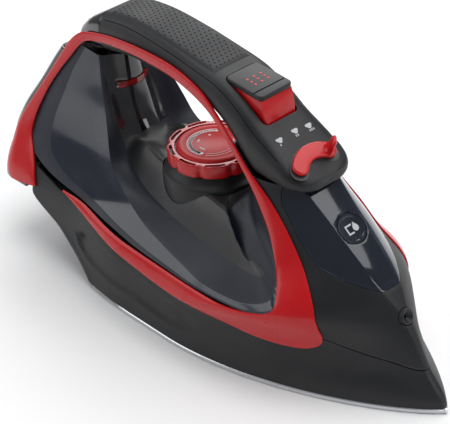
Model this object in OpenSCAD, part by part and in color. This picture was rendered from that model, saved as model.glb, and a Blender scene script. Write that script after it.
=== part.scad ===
// Steam iron with a see-through water tank, a spray button, a sliding steam control
// and a temperature dial under the hand grip.
// Millimetres. +X points to the toe, +Y to the iron's left side, +Z up.
// The origin is at the middle of the overall length and width, on the ironing plane.

/* [Overall] */
// Overall length, from the toe to the back of the heel
iron_length = 312; // [285:1:335]
// Overall width, across the soleplate
iron_width = 118; // [108:1:128]
// Overall height, to the top of the grip
iron_height = 160; // [150:1:172]

/* [Soleplate and heater] */
// Thickness of the soleplate
sole_t = 3; // [2.5:0.5:5]
// Radius of each steam vent
vent_r = 1.4; // [1:0.1:2]
// Number of steam vents along each side
vent_count = 7; // [4:1:8]
// Thickness of the cast heater block
block_t = 11; // [9:0.5:13]
// Radius of the heating element's tube
element_r = 3; // [2.5:0.1:3.5]

/* [Shells] */
// Wall thickness of the moulded shells
wall = 2.4; // [1.8:0.1:3]
// Gap between neighbouring moulded pieces
gap = 0.3; // [0.2:0.05:0.5]
// Thickness of the coloured trim
trim_t = 1.4; // [1:0.1:2]

/* [Temperature dial] */
// Outer radius of the dial's grip ring
dial_r = 25.6; // [22:0.1:28]
// Height of the grip ring
dial_h = 7.4; // [6:0.1:9]
// Radius of the dial's centre disc
disc_r = 20.4; // [17:0.1:21.5]
// Number of finger lobes on the dial
dial_lobes = 9; // [6:1:16]
// Radius of the dial's shaft
shaft_r = 3; // [2.5:0.1:4]

/* [Spray button] */
// Length of the spray button, front to back
button_l = 27; // [24:0.5:30]
// Width of the spray button
button_w = 23.5; // [18:0.5:26]
// Depth of the button's press
button_travel = 3; // [2:0.5:4]
// Radius of the pump piston
piston_r = 4; // [3:0.1:5]

/* [Steam slider] */
// Distance from the slider's turning centre to the middle of its arc
slider_arc_r = 15.5; // [14:0.5:17]
// Width of the slider's arc plate
slider_w = 9; // [7:0.5:11]
// Height of the slider's finger tab
tab_h = 9; // [7:0.5:11]
// Radius of the post that joins the slider to its keeper under the panel
post_r = 1.5; // [1.2:0.1:2]
// Turn of the steam slider, from shut to full steam
slider_turn = 30; // [20:1:34]

/* [Filler cap] */
// Radius of the filler cap
cap_r = 8.6; // [7:0.1:9.5]
// Thickness of the filler cap
cap_t = 1.8; // [1.4:0.1:2.4]

/* [Cord inlet] */
// Radius of the swivelling inlet drum
drum_r = 8; // [7:0.1:9]
// Radius of the cord hole through the drum
cord_hole_r = 3.6; // [3:0.1:4.2]

/* [Hidden] */

$fn = 48;
half_l = iron_length / 2;
// The profiles below were drawn on an iron of these overall sizes, and stretch with them.
kx = iron_length / 312;
ky = iron_width / 118;
kz = iron_height / 160;
running = 0.05;

// ---- Profiles of the moulded body. Each pairs a height with a distance back from the
// ---- toe, or with a half width.
TOE = [[0, 0], [7, 2], [21, 13], [35, 21], [50, 30], [58, 36], [68, 46], [86, 67], [104, 88], [112, 97]];
FLAT = [[0, 1], [50, 2.5], [58, 5], [68, 8], [86, 9.5], [104, 12], [112, 14]];
NOSE = [[0, 150], [30, 138], [44, 90], [57, 58], [70, 47], [84, 32], [99, 28], [112, 28]];
FULL = [[0, 59], [30, 58.5], [46, 54], [57, 43], [70, 33], [84, 27], [99, 23], [121, 20.5], [160, 19]];
REAR = [[0, 54], [35, 50], [46, 48], [56, 44], [68, 38], [84, 32], [108, 25], [130, 20], [142, 18], [160, 17]];
SKIRT_TAIL = [[0, 232], [4.6, 235], [15.7, 245.3], [30.4, 267], [39, 281], [60, 281]];
SKIRT_CORNER = [[0, 16], [28, 16], [40, 4], [60, 4]];
HEEL_TAIL = [[35, 308], [41, 312], [50, 312], [60, 311], [72, 308], [84, 301.5], [105, 288],
             [120, 279], [130, 272], [140, 266], [150, 252]];
// Height of the skirt's top edge, by distance back from the toe
SKIRT_TOP = [[0, 21.5], [14, 22], [27, 26], [45, 31], [60, 36], [80, 40], [95, 41.3], [126, 41.2],
             [150, 42], [173, 43], [205, 45.3], [234, 47.8], [252, 49.6], [264, 52], [281, 56]];
// The hand opening's front edge: height against distance back from the toe
OPENING_FRONT = [[30, 80], [46, 79], [50, 76.5], [56, 76.5], [68, 84.5], [81, 94.5], [90, 103],
                 [100, 112.5], [110, 123], [119, 132]];
// The front edge of the heel's sides
HEEL_FRONT = [[38, 284], [50, 284], [56, 285], [62, 288], [72, 293], [81, 293], [98, 285], [116, 275], [128, 267]];

function smooth(s) = let(t = min(max(s, 0), 1)) t * t * (3 - 2 * t);
function nose_rise(t) = pow(1 - pow(1 - min(max(t, 0), 1), 1.8), 0.85);
// Half width of the moulded body at a distance back from the toe and a height
function side(back, up) =
    let(t = (back - lookup(up, TOE)) / lookup(up, NOSE), f = lookup(up, FLAT),
        front = f + (lookup(up, FULL) - f) * nose_rise(t), s = smooth((back - 190) / 60))
    front * (1 - s) + lookup(up, REAR) * s;
// A point of the iron's own frame, from its distance back from the toe, its distance to
// the left and its height
function at(back, left, up) = [half_l - back * kx, left * ky, up * kz];

// A smooth curve through the points p, in n points
function blend(a, b, c, d, t) =
    0.5 * (2 * b + (c - a) * t + (2 * a - 5 * b + 4 * c - d) * t * t + (3 * b - a - 3 * c + d) * t * t * t);
function curve(p, n) = [for (i = [0:n - 1])
    let(s = i / (n - 1) * (len(p) - 1), k = min(floor(s), len(p) - 2))
    blend(p[max(k - 1, 0)], p[k], p[k + 1], p[min(k + 2, len(p) - 1)], s - k)];
function spread(a, b, n) = [for (i = [0:n - 1]) a + (b - a) * i / (n - 1)];
function mirrored(p) = [for (q = p) [q.x, -q.y, q.z]];
function flip(p) = [for (i = [len(p) - 1:-1:0]) p[i]];

// A wall between two grids of points, outer and inner, with the same rows and columns.
// With wrap, each row is closed on itself.
module wall_between(outer, inner, wrap = false) {
    rows = len(outer);
    cols = len(outer[0]);
    size = rows * cols;
    last = wrap ? cols : cols - 1;
    flat = [for (g = [outer, inner]) for (r = g) for (p = r) p];
    quads = [for (r = [0:rows - 2]) for (c = [0:last - 1])
        let(d = (c + 1) % cols) [r * cols + c, (r + 1) * cols + c, (r + 1) * cols + d, r * cols + d]];
    back_quads = [for (q = quads) [q[3] + size, q[2] + size, q[1] + size, q[0] + size]];
    row_edge = [for (e = [0, 1]) for (c = [0:last - 1])
        let(r = e == 0 ? 0 : (rows - 1) * cols, d = (c + 1) % cols, q = [r + c, r + d, r + d + size, r + c + size])
        e == 0 ? q : flip(q)];
    col_edge = wrap ? [] : [for (e = [0, 1]) for (r = [0:rows - 2])
        let(c = e == 0 ? 0 : cols - 1, a = r * cols + c, b = a + cols, q = [b, a, a + size, b + size])
        e == 0 ? q : flip(q)];
    polyhedron(flat, [for (q = concat(quads, back_quads, row_edge, col_edge))
        for (t = [[q[0], q[1], q[2]], [q[0], q[2], q[3]]]) t]);
}

// A closed solid through rings of points, each ring flat and going the same way
module loft(rings) {
    n = len(rings);
    m = len(rings[0]);
    points = [for (r = rings) for (p = r) p];
    skin = [for (k = [0:n - 2]) for (c = [0:m - 1])
        let(d = (c + 1) % m) [k * m + c, (k + 1) * m + c, (k + 1) * m + d, k * m + d]];
    ends = [[for (c = [0:m - 1]) c], [for (c = [m - 1:-1:0]) (n - 1) * m + c]];
    polyhedron(points, concat(skin, ends));
}

// ---- Soleplate and heater -----------------------------------------------------------
sole_tail = 232;
sole_corner = 16;
// Half of the sole's outline at an inset, from the toe to the middle of the back edge
function sole_half(inset, n = 18) =
    let(w = lookup(0, FULL) - inset, tail = sole_tail - inset, rw = lookup(0, REAR) - inset, c = sole_corner - inset / 2)
    concat(
        [for (i = [0:n]) let(t = 150 * pow(i / n, 1.5)) [inset * 2.2 + t * (1 - inset * 2.2 / 150), max(w * nose_rise(t / 150), 0.6)]],
        [[188, w - 0.4]],
        [for (a = [0:15:90]) [tail - c + c * sin(a), rw - c + c * cos(a)]]);
function sole_outline(inset) =
    let(h = [for (p = sole_half(inset)) [half_l - p.x * kx, p.y * ky]])
    concat(h, flip([for (p = h) [p.x, -p.y]]));

module vents() {
    for (i = [0:vent_count - 1], side_sign = [-1, 1])
        translate([half_l - (30 + 17 * i) * kx, side_sign * 0.66 * ky * 59 * nose_rise((30 + 17 * i) / 150), -1])
            cylinder(h = sole_t + 2, r = vent_r, $fn = 16);
}
module soleplate() {
    color("lightgray")
    difference() {
        linear_extrude(sole_t) polygon(sole_outline(0));
        vents();
    }
}

block_inset = 9;
block_z = sole_t;
element_z = block_z + block_t;
element_bend = 22;
element_back = 195;
element_front = half_l - 75 * kx;
element_end = half_l - element_back * kx;
element_lead = 12;
// The heating element is a U with its bend to the front, pressed into a groove. Its thin
// leads come out of the back ends.
module element_path(grow) {
    for (s = [-1, 1])
        translate([element_end, s * element_bend, element_z]) rotate([0, 90, 0]) {
            cylinder(h = element_front - element_end, r = element_r + grow);
            translate([0, 0, -element_lead]) cylinder(h = element_lead, r = element_r / 2 + grow);
        }
    translate([element_front, 0, element_z])
        rotate([0, 0, -90]) rotate_extrude(angle = 180) translate([element_bend, 0]) circle(element_r + grow);
}
module heater_block() {
    color("silver")
    difference() {
        translate([0, 0, block_z]) linear_extrude(block_t) polygon(sole_outline(block_inset));
        element_path(running);
        translate([0, 0, block_z + 4]) linear_extrude(block_t) polygon(chamber_outline());
        translate([half_l - thermostat_back * kx, 0, element_z - thermostat_seat])
            cylinder(h = block_t, r = thermostat_r + running);
    }
}
// The steam chamber is a hollow between the element's legs, near the toe
chamber_front = element_front - 4;
chamber_l = 62;
chamber_w = 28;
function chamber_outline() = [[chamber_front - chamber_l, -chamber_w / 2], [chamber_front - 10, -chamber_w / 2],
    [chamber_front, -chamber_w / 4], [chamber_front, chamber_w / 4],
    [chamber_front - 10, chamber_w / 2], [chamber_front - chamber_l, chamber_w / 2]];
module heating_element() {
    color("dimgray") element_path(0);
}
cover_t = 1.5;
inlet_r = 2.5;
module chamber_cover() {
    color("gainsboro")
    difference() {
        translate([chamber_front - chamber_l - 3, -chamber_w / 2 - 2, element_z])
            cube([chamber_l + 2, chamber_w + 4, cover_t]);
        translate([chamber_front - 20, 0, element_z - 1]) cylinder(h = cover_t + 2, r = inlet_r);
    }
}

// ---- Temperature dial and thermostat ------------------------------------------------
dial_back = 171;
dial_x = half_l - dial_back * kx;
dial_top = 94 * kz;
dial_z = dial_top - dial_h;
boss_z = 80.5 * kz;
thermostat_back = dial_back;
thermostat_r = 11;
thermostat_seat = 3;
thermostat_h = 10;
shaft_foot = element_z + 3;
module thermostat() {
    color("tan")
    translate([dial_x, 0, element_z - thermostat_seat])
        difference() {
            cylinder(h = thermostat_h, r = thermostat_r);
            translate([0, 0, 4]) cylinder(h = thermostat_h, r = shaft_r + running);
        }
}
module dial_shaft() {
    color("silver")
    translate([dial_x, 0, shaft_foot]) cylinder(h = dial_z + dial_floor - shaft_foot, r = shaft_r);
}
module thermal_fuse() {
    color("white")
    translate([dial_x - 30, 8, element_z + 2.5]) rotate([0, 90, 0]) cylinder(h = 14, r = 2.5);
}

disc_gap = 1;
disc_rise = 0.8;
dial_floor = 3;
lobe_depth = 1.5;
lobe_steps = 16;
lobe_edge = 20;
// The ring's outline: a narrow notch between one finger lobe and the next
function lobed_outline() = [for (i = [0:dial_lobes * lobe_steps - 1])
    let(a = 360 / (dial_lobes * lobe_steps) * i)
    (dial_r - lobe_depth * pow(sin(a * dial_lobes / 2), lobe_edge)) * [cos(a), sin(a)]];
module dial_ring() {
    color("red")
    translate([dial_x, 0, dial_z])
        difference() {
            linear_extrude(dial_h) polygon(lobed_outline());
            translate([0, 0, dial_floor]) cylinder(h = dial_h, r = disc_r + disc_gap);
            translate([0, 0, -1]) cylinder(h = dial_floor + 2, r = shaft_r);
        }
}
module dial_disc() {
    color("firebrick")
    translate([dial_x, 0, dial_z + dial_floor])
        cylinder(h = dial_h - dial_floor + disc_rise, r = disc_r);
}
boss_r = 28.5;
boss_foot = 59 * kz;
module dial_boss() {
    color("black")
    translate([dial_x, 0, 0]) {
        rotate_extrude() polygon([[boss_r - wall, boss_foot], [boss_r, boss_foot], [boss_r, boss_z],
            [dial_r - 4, dial_z - 0.4], [shaft_r + running, dial_z - 0.4],
            [shaft_r + running, dial_z - 0.4 - wall], [dial_r - 5 - wall, dial_z - 0.4 - wall],
            [boss_r - wall, boss_z - wall]]);
    }
}

// ---- Lower skirt --------------------------------------------------------------------
skirt_z = sole_t + 0.8;
// Half of one closed ring of the skirt, from the toe to the back edge: each point's
// distance back and how far its corner draws it in. s runs from the skirt's lower edge,
// 0, to its top edge, 1.
function skirt_level(back, s) = let(low = skirt_z / kz) low + s * (lookup(back, SKIRT_TOP) - gap - low);
function skirt_half(s, inset) =
    let(front = skirt_level(14, s), behind = skirt_level(281, s), toe = lookup(front, TOE) + inset * 1.5,
        reach = lookup(front, NOSE) + 30 - 1.5 * inset, tail = lookup(behind, SKIRT_TAIL) - inset,
        c = lookup(behind, SKIRT_CORNER))
    concat(
        [for (i = [0:15]) [toe + reach * pow(i / 15, 1.5), 0]],
        [for (i = [1:4]) [toe + reach + (tail - c - toe - reach) * i / 5, 0]],
        [for (a = [0:18:90]) [tail - c + c * sin(a), c - c * cos(a)]]);
function skirt_ring(s, inset) =
    let(h = [for (p = skirt_half(s, inset))
            let(up = skirt_level(p.x, s),
                back = min(max(p.x, lookup(up, TOE) + inset), lookup(up, SKIRT_TAIL) - lookup(up, SKIRT_CORNER)))
            at(p.x, max(side(back, up) - inset - p.y, 0.5), up)])
    concat(h, flip(mirrored(h)));
module lower_skirt() {
    color([0.1, 0.1, 0.11])
    wall_between([for (s = [0, 0.12, 0.3, 0.5, 0.7, 0.85, 1]) skirt_ring(s, 0.2)],
                 [for (s = [0, 0.12, 0.3, 0.5, 0.7, 0.85, 1]) skirt_ring(s, 0.2 + wall)], wrap = true);
}

// ---- Nose shell and the tank's front window ------------------------------------------
nose_top = 106;
nose_rows = [0, 0.1, 0.2, 0.3, 0.4, 0.5, 0.6, 0.7, 0.8, 0.9, 1];
function nose_back(up, c, inset) =
    let(toe = lookup(up, TOE) + inset * 1.4) toe + (lookup(up, OPENING_FRONT) - toe) * pow(c, 1.6);
function nose_height(back, s) = let(low = lookup(back, SKIRT_TOP) + gap) low + s * (nose_top - low);
function nose_half(s, inset) =
    concat([let(up = nose_height(nose_back(nose_height(20, s), 0, inset), s)) [nose_back(up, 0, inset), 0, up]],
        [for (i = [0:12]) let(c = i / 12, b = nose_back(nose_height(30, s), c, inset),
            up = nose_height(nose_back(nose_height(b, s), c, inset), s), back = nose_back(up, c, inset))
            [back, max(side(max(back - inset * 1.4, lookup(up, TOE)), up) - inset, 0.4), up]]);
function nose_row(s, inset) =
    let(h = [for (p = nose_half(s, inset)) at(p.x, p.y, p.z)])
    concat(flip(mirrored([for (i = [1:len(h) - 1]) h[i]])), h);
module nose_skin() {
    wall_between([for (s = nose_rows) nose_row(s, 0)], [for (s = nose_rows) nose_row(s, wall)]);
}
// The window's outline seen from the side, with its rear edge swept up to the handle
WINDOW = [[98, 112], [98, 100], [90, 91], [82, 83], [75, 77], [69, 72], [62, 69.2], [54, 66.7], [46, 63.9],
          [40, 61.5], [20, 61], [20, 112]];
module seen_from_side(outline) {
    rotate([90, 0, 0]) linear_extrude(iron_width + 10, center = true)
        polygon([for (p = outline) [half_l - p.x * kx, p.y * kz]]);
}
module tank_window() {
    color([0.2, 0.24, 0.32, 0.5])
    difference() {
        intersection() {
            nose_skin();
            translate([0.3, 0, 0.3]) seen_from_side(WINDOW);
        }
        cap_cut(cap_r + gap);
    }
}
// The spray nozzle stands in a round hole in the nose, pointing forward and down a little
nozzle_r = 4.5;
nozzle_len = 8;
nozzle_at = at(33, 0, 46.5);
nozzle_tilt = 68;
module nozzle_frame() { translate(nozzle_at) rotate([0, nozzle_tilt, 0]) children(); }
module nose_shell() {
    color([0.09, 0.09, 0.1])
    difference() {
        nose_skin();
        seen_from_side(WINDOW);
        nozzle_frame() translate([0, 0, -10]) cylinder(h = 24, r = nozzle_r + running);
    }
}
module spray_nozzle() {
    color([0.12, 0.12, 0.13])
    nozzle_frame() translate([0, 0, -2])
        difference() {
            union() {
                cylinder(h = nozzle_len, r = nozzle_r);
                translate([0, 0, -4]) cylinder(h = 4.2, r = 2.5);
            }
            translate([0, 0, nozzle_len - 2]) cylinder(h = 3, r1 = 1.2, r2 = 3.2);
            translate([0, 0, -5]) cylinder(h = nozzle_len + 5, r = 0.8);
        }
}

// ---- Filler cap ----------------------------------------------------------------------
cap_at = at(66.5, 0, 85.7);
hinge_r = 1;
hinge_l = 6;
cap_tilt = atan2(36 * kz, (lookup(104, TOE) - lookup(68, TOE)) * kx);
module cap_frame() { translate(cap_at) rotate([0, cap_tilt, 0]) children(); }
hinge_x = cap_r + hinge_r;
module cap_cut(r) {
    cap_frame() {
        translate([0, 0, -8]) cylinder(h = 16, r = r);
        translate([-hinge_x - hinge_r - gap, -hinge_l / 2 - gap, -8]) cube([4, hinge_l + 2 * gap, 16]);
    }
}
module filler_cap() {
    color([0.16, 0.18, 0.24, 0.8])
    cap_frame() {
        translate([0, 0, -cap_t]) cylinder(h = cap_t, r = cap_r);
        translate([-hinge_x, 0, -hinge_r]) rotate([90, 0, 0])
            cylinder(h = hinge_l, r = hinge_r, center = true);
        translate([-hinge_x, -2, -cap_t]) cube([4, 4, cap_t]);
    }
}

// ---- Water tank ----------------------------------------------------------------------
// The tank's upper face is a trough that runs down behind the front pillar, under the
// dial and up the rear pillar. Each curve below runs along it, from front to back:
// its rim on the trim, a ridge, a crease and the middle.
RIM = [[134, 20, 117], [116, 22.5, 100], [105, 25.6, 90], [97, 28.5, 80.5], [89, 33, 70], [83, 39, 60],
       [80.5, 42.5, 53.5], [82.5, 45.5, 47.5], [97, 51.2, 44.4], [128, 54.3, 44.2], [155, 53.9, 45.2], [182, 52.8, 46.6],
       [208, 50, 48.7], [234, 46.2, 51], [262, 45, 55], [280, 42.5, 60.5], [287, 39.5, 66.5], [289, 36, 73],
       [287, 31.5, 85], [279, 27, 101], [270, 23, 116], [257, 19.2, 132]];
RIDGE = [[137, 15.5, 116], [121, 19.5, 99.5], [111, 22.5, 89.5], [103, 26, 79.5], [94.5, 31, 69.5], [86.5, 37.5, 60.3],
         [85.5, 40, 54.5], [89.5, 43.5, 49.5], [103, 48.8, 46.6], [127, 51.7, 47.8], [146, 49.3, 50.2], [165, 46.5, 53],
         [183, 43.3, 56.2], [198, 39.6, 61], [209, 36.8, 67], [216.5, 34.7, 72], [221, 33, 76.5], [224, 31.3, 82],
         [226.5, 29.3, 89.5], [231, 26, 101], [238, 21.5, 114], [243, 17.6, 129.5]];
CREASE = [[139, 8.5, 115], [129, 12, 99], [124, 15.5, 88], [119, 20, 78], [108, 28, 70.5], [97, 35, 62.5],
          [97, 36, 59.5], [101, 36.8, 58], [108, 37.3, 57.8], [119, 37.4, 58.3], [133, 36.7, 59], [149, 35, 60],
          [166, 33, 61], [184, 30, 62.5], [198, 27.3, 64.5], [209, 24.5, 68], [217.5, 21.5, 71.5], [224.5, 18.5, 76],
          [230.5, 17, 84], [236, 16.5, 100], [240.3, 15.3, 112.5], [244, 13.5, 127.5]];
MIDDLE = [[140, 0, 115], [138, 0, 103], [137, 0, 94], [137, 0, 87], [137.5, 0, 82.5], [139, 0, 80],
          [140.5, 0, 79.2], [145, 0, 79], [150, 0, 79], [157, 0, 79], [164, 0, 79], [171, 0, 79],
          [180, 0, 79], [190, 0, 78.5], [199, 0, 77.5], [206.5, 0, 77], [213, 0, 77.3], [219.5, 0, 80],
          [225, 0, 87], [229.5, 0, 99], [233.3, 0, 112.5], [236.5, 0, 127.5]];
tank_rows = 43;
// A row's place along the curves, counted in their points
function tank_u(i) = i / (tank_rows - 1) * (len(RIM) - 1);
// The deck stands up like a dome inside the crease, and spreads forward at its front corners
function deck_dome(i) = smooth((tank_u(i) - 5) / 4) * smooth((18 - tank_u(i)) / 3);
function deck_corner(i) = tank_u(i) < 5.5 ? smooth((tank_u(i) - 2) / 3.5) : smooth((10.5 - tank_u(i)) / 5);
function tank_rowset(lift) =
    let(a = curve(RIM, tank_rows), b = curve(RIDGE, tank_rows), c = curve(CREASE, tank_rows),
        d = curve(MIDDLE, tank_rows))
    [for (i = [0:tank_rows - 1])
        let(k = deck_corner(i), e = deck_dome(i),
            h = [[a[i].x, a[i].y - 0.4, a[i].z], b[i], c[i], c[i] * 0.68 + d[i] * 0.32 + [16 * k, 4 * k, 12 * e - k],
                c[i] * 0.38 + d[i] * 0.62 + [16 * k - 1.5 * behind(i), 6 * k, 6 * e + 2.5 * k], d[i]],
            g = [for (n = [0:5]) let(q = h[n] + lift * inward(i, n)) at(q.x, q.y, q.z)])
        concat(g, [for (k = [4:-1:0]) [g[k].x, -g[k].y, g[k].z]])];
front_lean = [1, 1, 0.9, 0.8, 0.4, 0];
rear_lean = [1, 0.5, 0, 0, 0, 0];
// Into the tank: forward and inward on the front wall, down under the dial, back and
// inward behind
function inward(i, n) =
    let(f = smooth((0.36 - i / (tank_rows - 1)) / 0.16), r = behind(i))
    [-f * (1 - 0.4 * front_lean[n]) + r * (1 - rear_lean[n]), -f * 0.8 * front_lean[n] - r * rear_lean[n],
     -(1 - f * 0.75 - r * 0.75)];
// 1 on the rear wall, 0 from the trough's floor forward
function behind(i) = smooth((i / (tank_rows - 1) - 0.58) / 0.25);
module tank_shell() {
    color([0.15, 0.18, 0.25])
    difference() {
        wall_between(tank_rowset(0), tank_rowset(wall));
        translate([dial_x, 0, 0]) cylinder(h = dial_top, r = boss_r + gap);
        lens_slot(gap);
    }
}
base_z = 34 * kz;
module tank_base() {
    color("dimgray")
    difference() {
        translate([0, 0, base_z]) linear_extrude(2)
            polygon([for (p = tank_floor()) [p.x, p.y]]);
        translate([dial_x, 0, base_z - 1]) cylinder(h = 4, r = shaft_r + 1);
        translate([chamber_front - 20, 0, base_z - 1]) cylinder(h = 4, r = inlet_r);
    }
}
function tank_floor() =
    let(h = [for (b = [62, 80, 110, 150, 190, 225, 244]) at(b, side(b, 34) - wall - 2, 0)])
    concat(h, flip(mirrored(h)));

// ---- Heel ----------------------------------------------------------------------------
heel_levels = [40, 46, 54, 62, 70, 78, 86, 94, 102, 110, 118, 126];
// Radius of the heel's rear corners at a height
function heel_round(up) =
    max(min(14, lookup(up, REAR) * 0.6, (lookup(up, HEEL_TAIL) - lookup(up, HEEL_FRONT)) * 0.6), 0);
function heel_half(up, inset) =
    let(w = lookup(up, REAR) - inset, tail = lookup(up, HEEL_TAIL) - inset, front = lookup(up, HEEL_FRONT),
        c = heel_round(up) - inset / 2)
    concat([for (f = spread(front, tail - c, 4)) [f, side(f, up) - inset]],
        [for (a = [15:15:75]) [tail - c + c * sin(a), w - c + c * cos(a)]],
        [[tail, w - c - 0.5], [tail, 0]]);
function heel_row(up, inset) =
    let(h = [for (p = heel_half(up, inset)) at(p.x, p.y, up)])
    concat(h, flip(mirrored([for (i = [0:len(h) - 2]) h[i]])));
module heel_shell() {
    color([0.06, 0.06, 0.07])
    wall_between([for (u = heel_levels) heel_row(u, 0)], [for (u = heel_levels) heel_row(u, wall)]);
}
module heel_base() {
    color("black")
    translate([0, 0, (heel_levels[0] + 0.5) * kz]) linear_extrude(2)
        polygon([for (p = heel_row(heel_levels[0], wall + 0.6)) [p.x, p.y]]);
}

// ---- Trim ----------------------------------------------------------------------------
// Outer and inner edges of the trim, as distances back from the toe and heights. It
// starts as a point near the heel, runs forward, up the front pillar, back along the
// grip and down the rear pillar to a flare at the heel.
TRIM = [[[250, 50.5], [250, 51.5]], [[232, 46.6], [232, 51.3]], [[211, 42.8], [211, 49]],
        [[184, 39], [184, 47]], [[158, 36.2], [158, 45.8]], [[134, 34.5], [134, 44.8]],
        [[110, 31.5], [112, 44.6]], [[92, 28.5], [100, 44.8]], [[76, 27.5], [90, 46]],
        [[65, 28.6], [83.5, 48]], [[58.6, 33], [80.8, 50.4]], [[58, 42], [79.8, 53.5]],
        [[62.3, 56], [82.5, 60]], [[73, 69.5], [88.5, 68.5]], [[86, 84], [98, 81.5]],
        [[102.5, 98], [108, 92]], [[119, 109.5], [119, 103.5]], [[132, 122], [131, 115]],
        [[143, 132.5], [140, 124]], [[156, 142], [154, 134]], [[178, 148.4], [176, 141.2]],
        [[202, 149.5], [202, 143.4]], [[226, 147.6], [226, 142]], [[243, 144.5], [241, 139.8]],
        [[255, 140.8], [251, 136.8]], [[264, 133.5], [257.5, 131]], [[272, 122], [264.5, 122]],
        [[281, 107.5], [272, 112]], [[291, 91.5], [280.5, 98]], [[299, 77.5], [287, 82]],
        [[303.2, 66], [288, 71]], [[303.8, 56.5], [283, 62.5]], [[302.5, 48.5], [278.5, 55]],
        [[300.5, 44], [276.3, 49]], [[297, 41], [274.5, 44.3]]];
// The trim follows the heel round its rear corners
function trimmed_side(back, up) =
    let(c = heel_round(up), d = max(back - lookup(up, HEEL_TAIL) + c, 0))
    side(back, up) - (c - sqrt(max(c * c - d * d, 0)));
trim_rows = 68;
function trim_grid(lift) =
    let(o = curve([for (p = TRIM) p[0]], trim_rows), n = curve([for (p = TRIM) p[1]], trim_rows))
    [for (i = [0:trim_rows - 1]) [for (t = [0, 0.33, 0.67, 1])
        let(p = o[i] * (1 - t) + n[i] * t) at(p[0], trimmed_side(p[0], p[1]) + lift / ky, p[1])]];
module trim_right() {
    color("red") mirror([0, 1, 0]) trim_half();
}
module trim_left() { color("red") trim_half(); }
trim_lift = gap + 0.15;
module trim_half() { wall_between(trim_grid(trim_t + trim_lift), trim_grid(trim_lift)); }

// ---- Handle --------------------------------------------------------------------------
GRIP_TOP = [[81.5, 112.5], [90, 118], [107, 128.3], [119, 135.8], [128, 142.2], [146, 150.5], [165, 153.8],
            [190, 157.8], [215, 160], [238, 157.5], [250, 152], [258, 146], [264, 139], [268, 133]];
GRIP_BOTTOM = [[81.5, 106.4], [116, 106.4], [122, 110], [134, 119.4], [145, 127], [157, 131.5], [168, 133.5],
               [190, 134.5], [215, 134.5], [240, 131], [262, 128], [270, 128]];
GRIP_WIDE = [[81.5, 6], [82.5, 12], [85, 17], [90, 20.3], [96, 21.6], [120, 21.2], [134, 20.3], [160, 19.5],
             [240, 18.2], [258, 16.5], [268, 11]];
pad_t = 1;
// A ring of the handle at a distance back from the toe, boxy at the front and round behind
function grip_ring(back, inset) =
    let(top = lookup(back, GRIP_TOP) - pad_t - inset, low = lookup(back, GRIP_BOTTOM) + inset,
        w = lookup(back, GRIP_WIDE) - inset, z = (top + low) / 2, h = (top - low) / 2,
        k = 0.12 + 0.4 * smooth((back - 118) / 45))
    [for (i = [0:23]) let(a = -90 + 15 * i + 7.5, c = cos(a), s = sin(a))
        at(back, sign(c) * w * pow(abs(c), s > 0 ? 0.36 : k), z + h * s)];
grip_end = 240;
// The button and slider frames sit on the handle's top
button_back = 132;
button_z = 148.9 * kz;
button_x = half_l - button_back * kx;
button_tilt = 5;
module button_frame() { translate([button_x, 0, button_z]) rotate([0, button_tilt, 0]) children(); }
slider_back = 81.5;
panel_slope = atan2((lookup(119, GRIP_TOP) - lookup(slider_back, GRIP_TOP)) * kz, (119 - slider_back) * kx);
slider_left = -2 * ky;
slider_x = half_l - slider_back * kx;
panel_z = (lookup(slider_back, GRIP_TOP) - pad_t) * kz;
module panel_frame() { translate([slider_x, slider_left, panel_z]) rotate([0, panel_slope, 0]) children(); }
slider_lift = 0.5;
slider_plate_t = 2.6;
tab_angle = 40;
arc_tail = -46;
// Places its children on the slider's arc, at an angle to the left of straight back
module on_arc(angle) { rotate(180 - angle) translate([slider_arc_r, 0, 0]) children(); }
// A flat arc with round ends about the turning centre
module arc_plate(r, w, from, to, h) {
    rotate(180 - to) rotate_extrude(angle = to - from) translate([r - w / 2, 0]) square([w, h]);
    for (a = [from, to]) rotate(180 - a) translate([r, 0, 0]) cylinder(h = h, r = w / 2 - 0.2);
}
module handle_shell() {
    color([0.1, 0.1, 0.11])
    difference() {
        wall_between([for (b = handle_stations) grip_ring(b, 0)], [for (b = handle_stations) grip_ring(b, wall)], wrap = true);
        button_frame() translate([-button_l / 2 - 0.5, -button_w / 2 - 0.5, -button_drop - button_apron - button_travel - 1])
            cube([button_l + button_lean + 0.5, button_w + 1, 40]);
        panel_frame() translate([0, 0, -6])
            arc_plate(slider_arc_r, 2 * (post_r + gap), tab_angle - slider_turn, tab_angle, 20);
    }
}
handle_stations = [82, 84, 87, 91, 96, 103, 111, 119, 128, 137, 147, 158, 170, 184, 200, 215, 228, grip_end];
// The pad on the grip follows the handle's top
function pad_point(back, left, up) =
    let(top = lookup(back, GRIP_TOP) - pad_t, low = lookup(back, GRIP_BOTTOM), w = lookup(back, GRIP_WIDE),
        c = pow(abs(left) / w, 1 / 0.36))
    at(back, left, (top + low) / 2 + (top - low) / 2 * sqrt(1 - c * c) + up / kz);
module grip_pad() {
    color([0.13, 0.13, 0.14])
    wall_between([for (b = spread(152, 236, 13)) [for (y = spread(-13, 13, 9)) pad_point(b, y, pad_t)]],
                 [for (b = spread(152, 236, 13)) [for (y = spread(-13, 13, 9)) pad_point(b, y, 0.02)]]);
}

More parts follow.
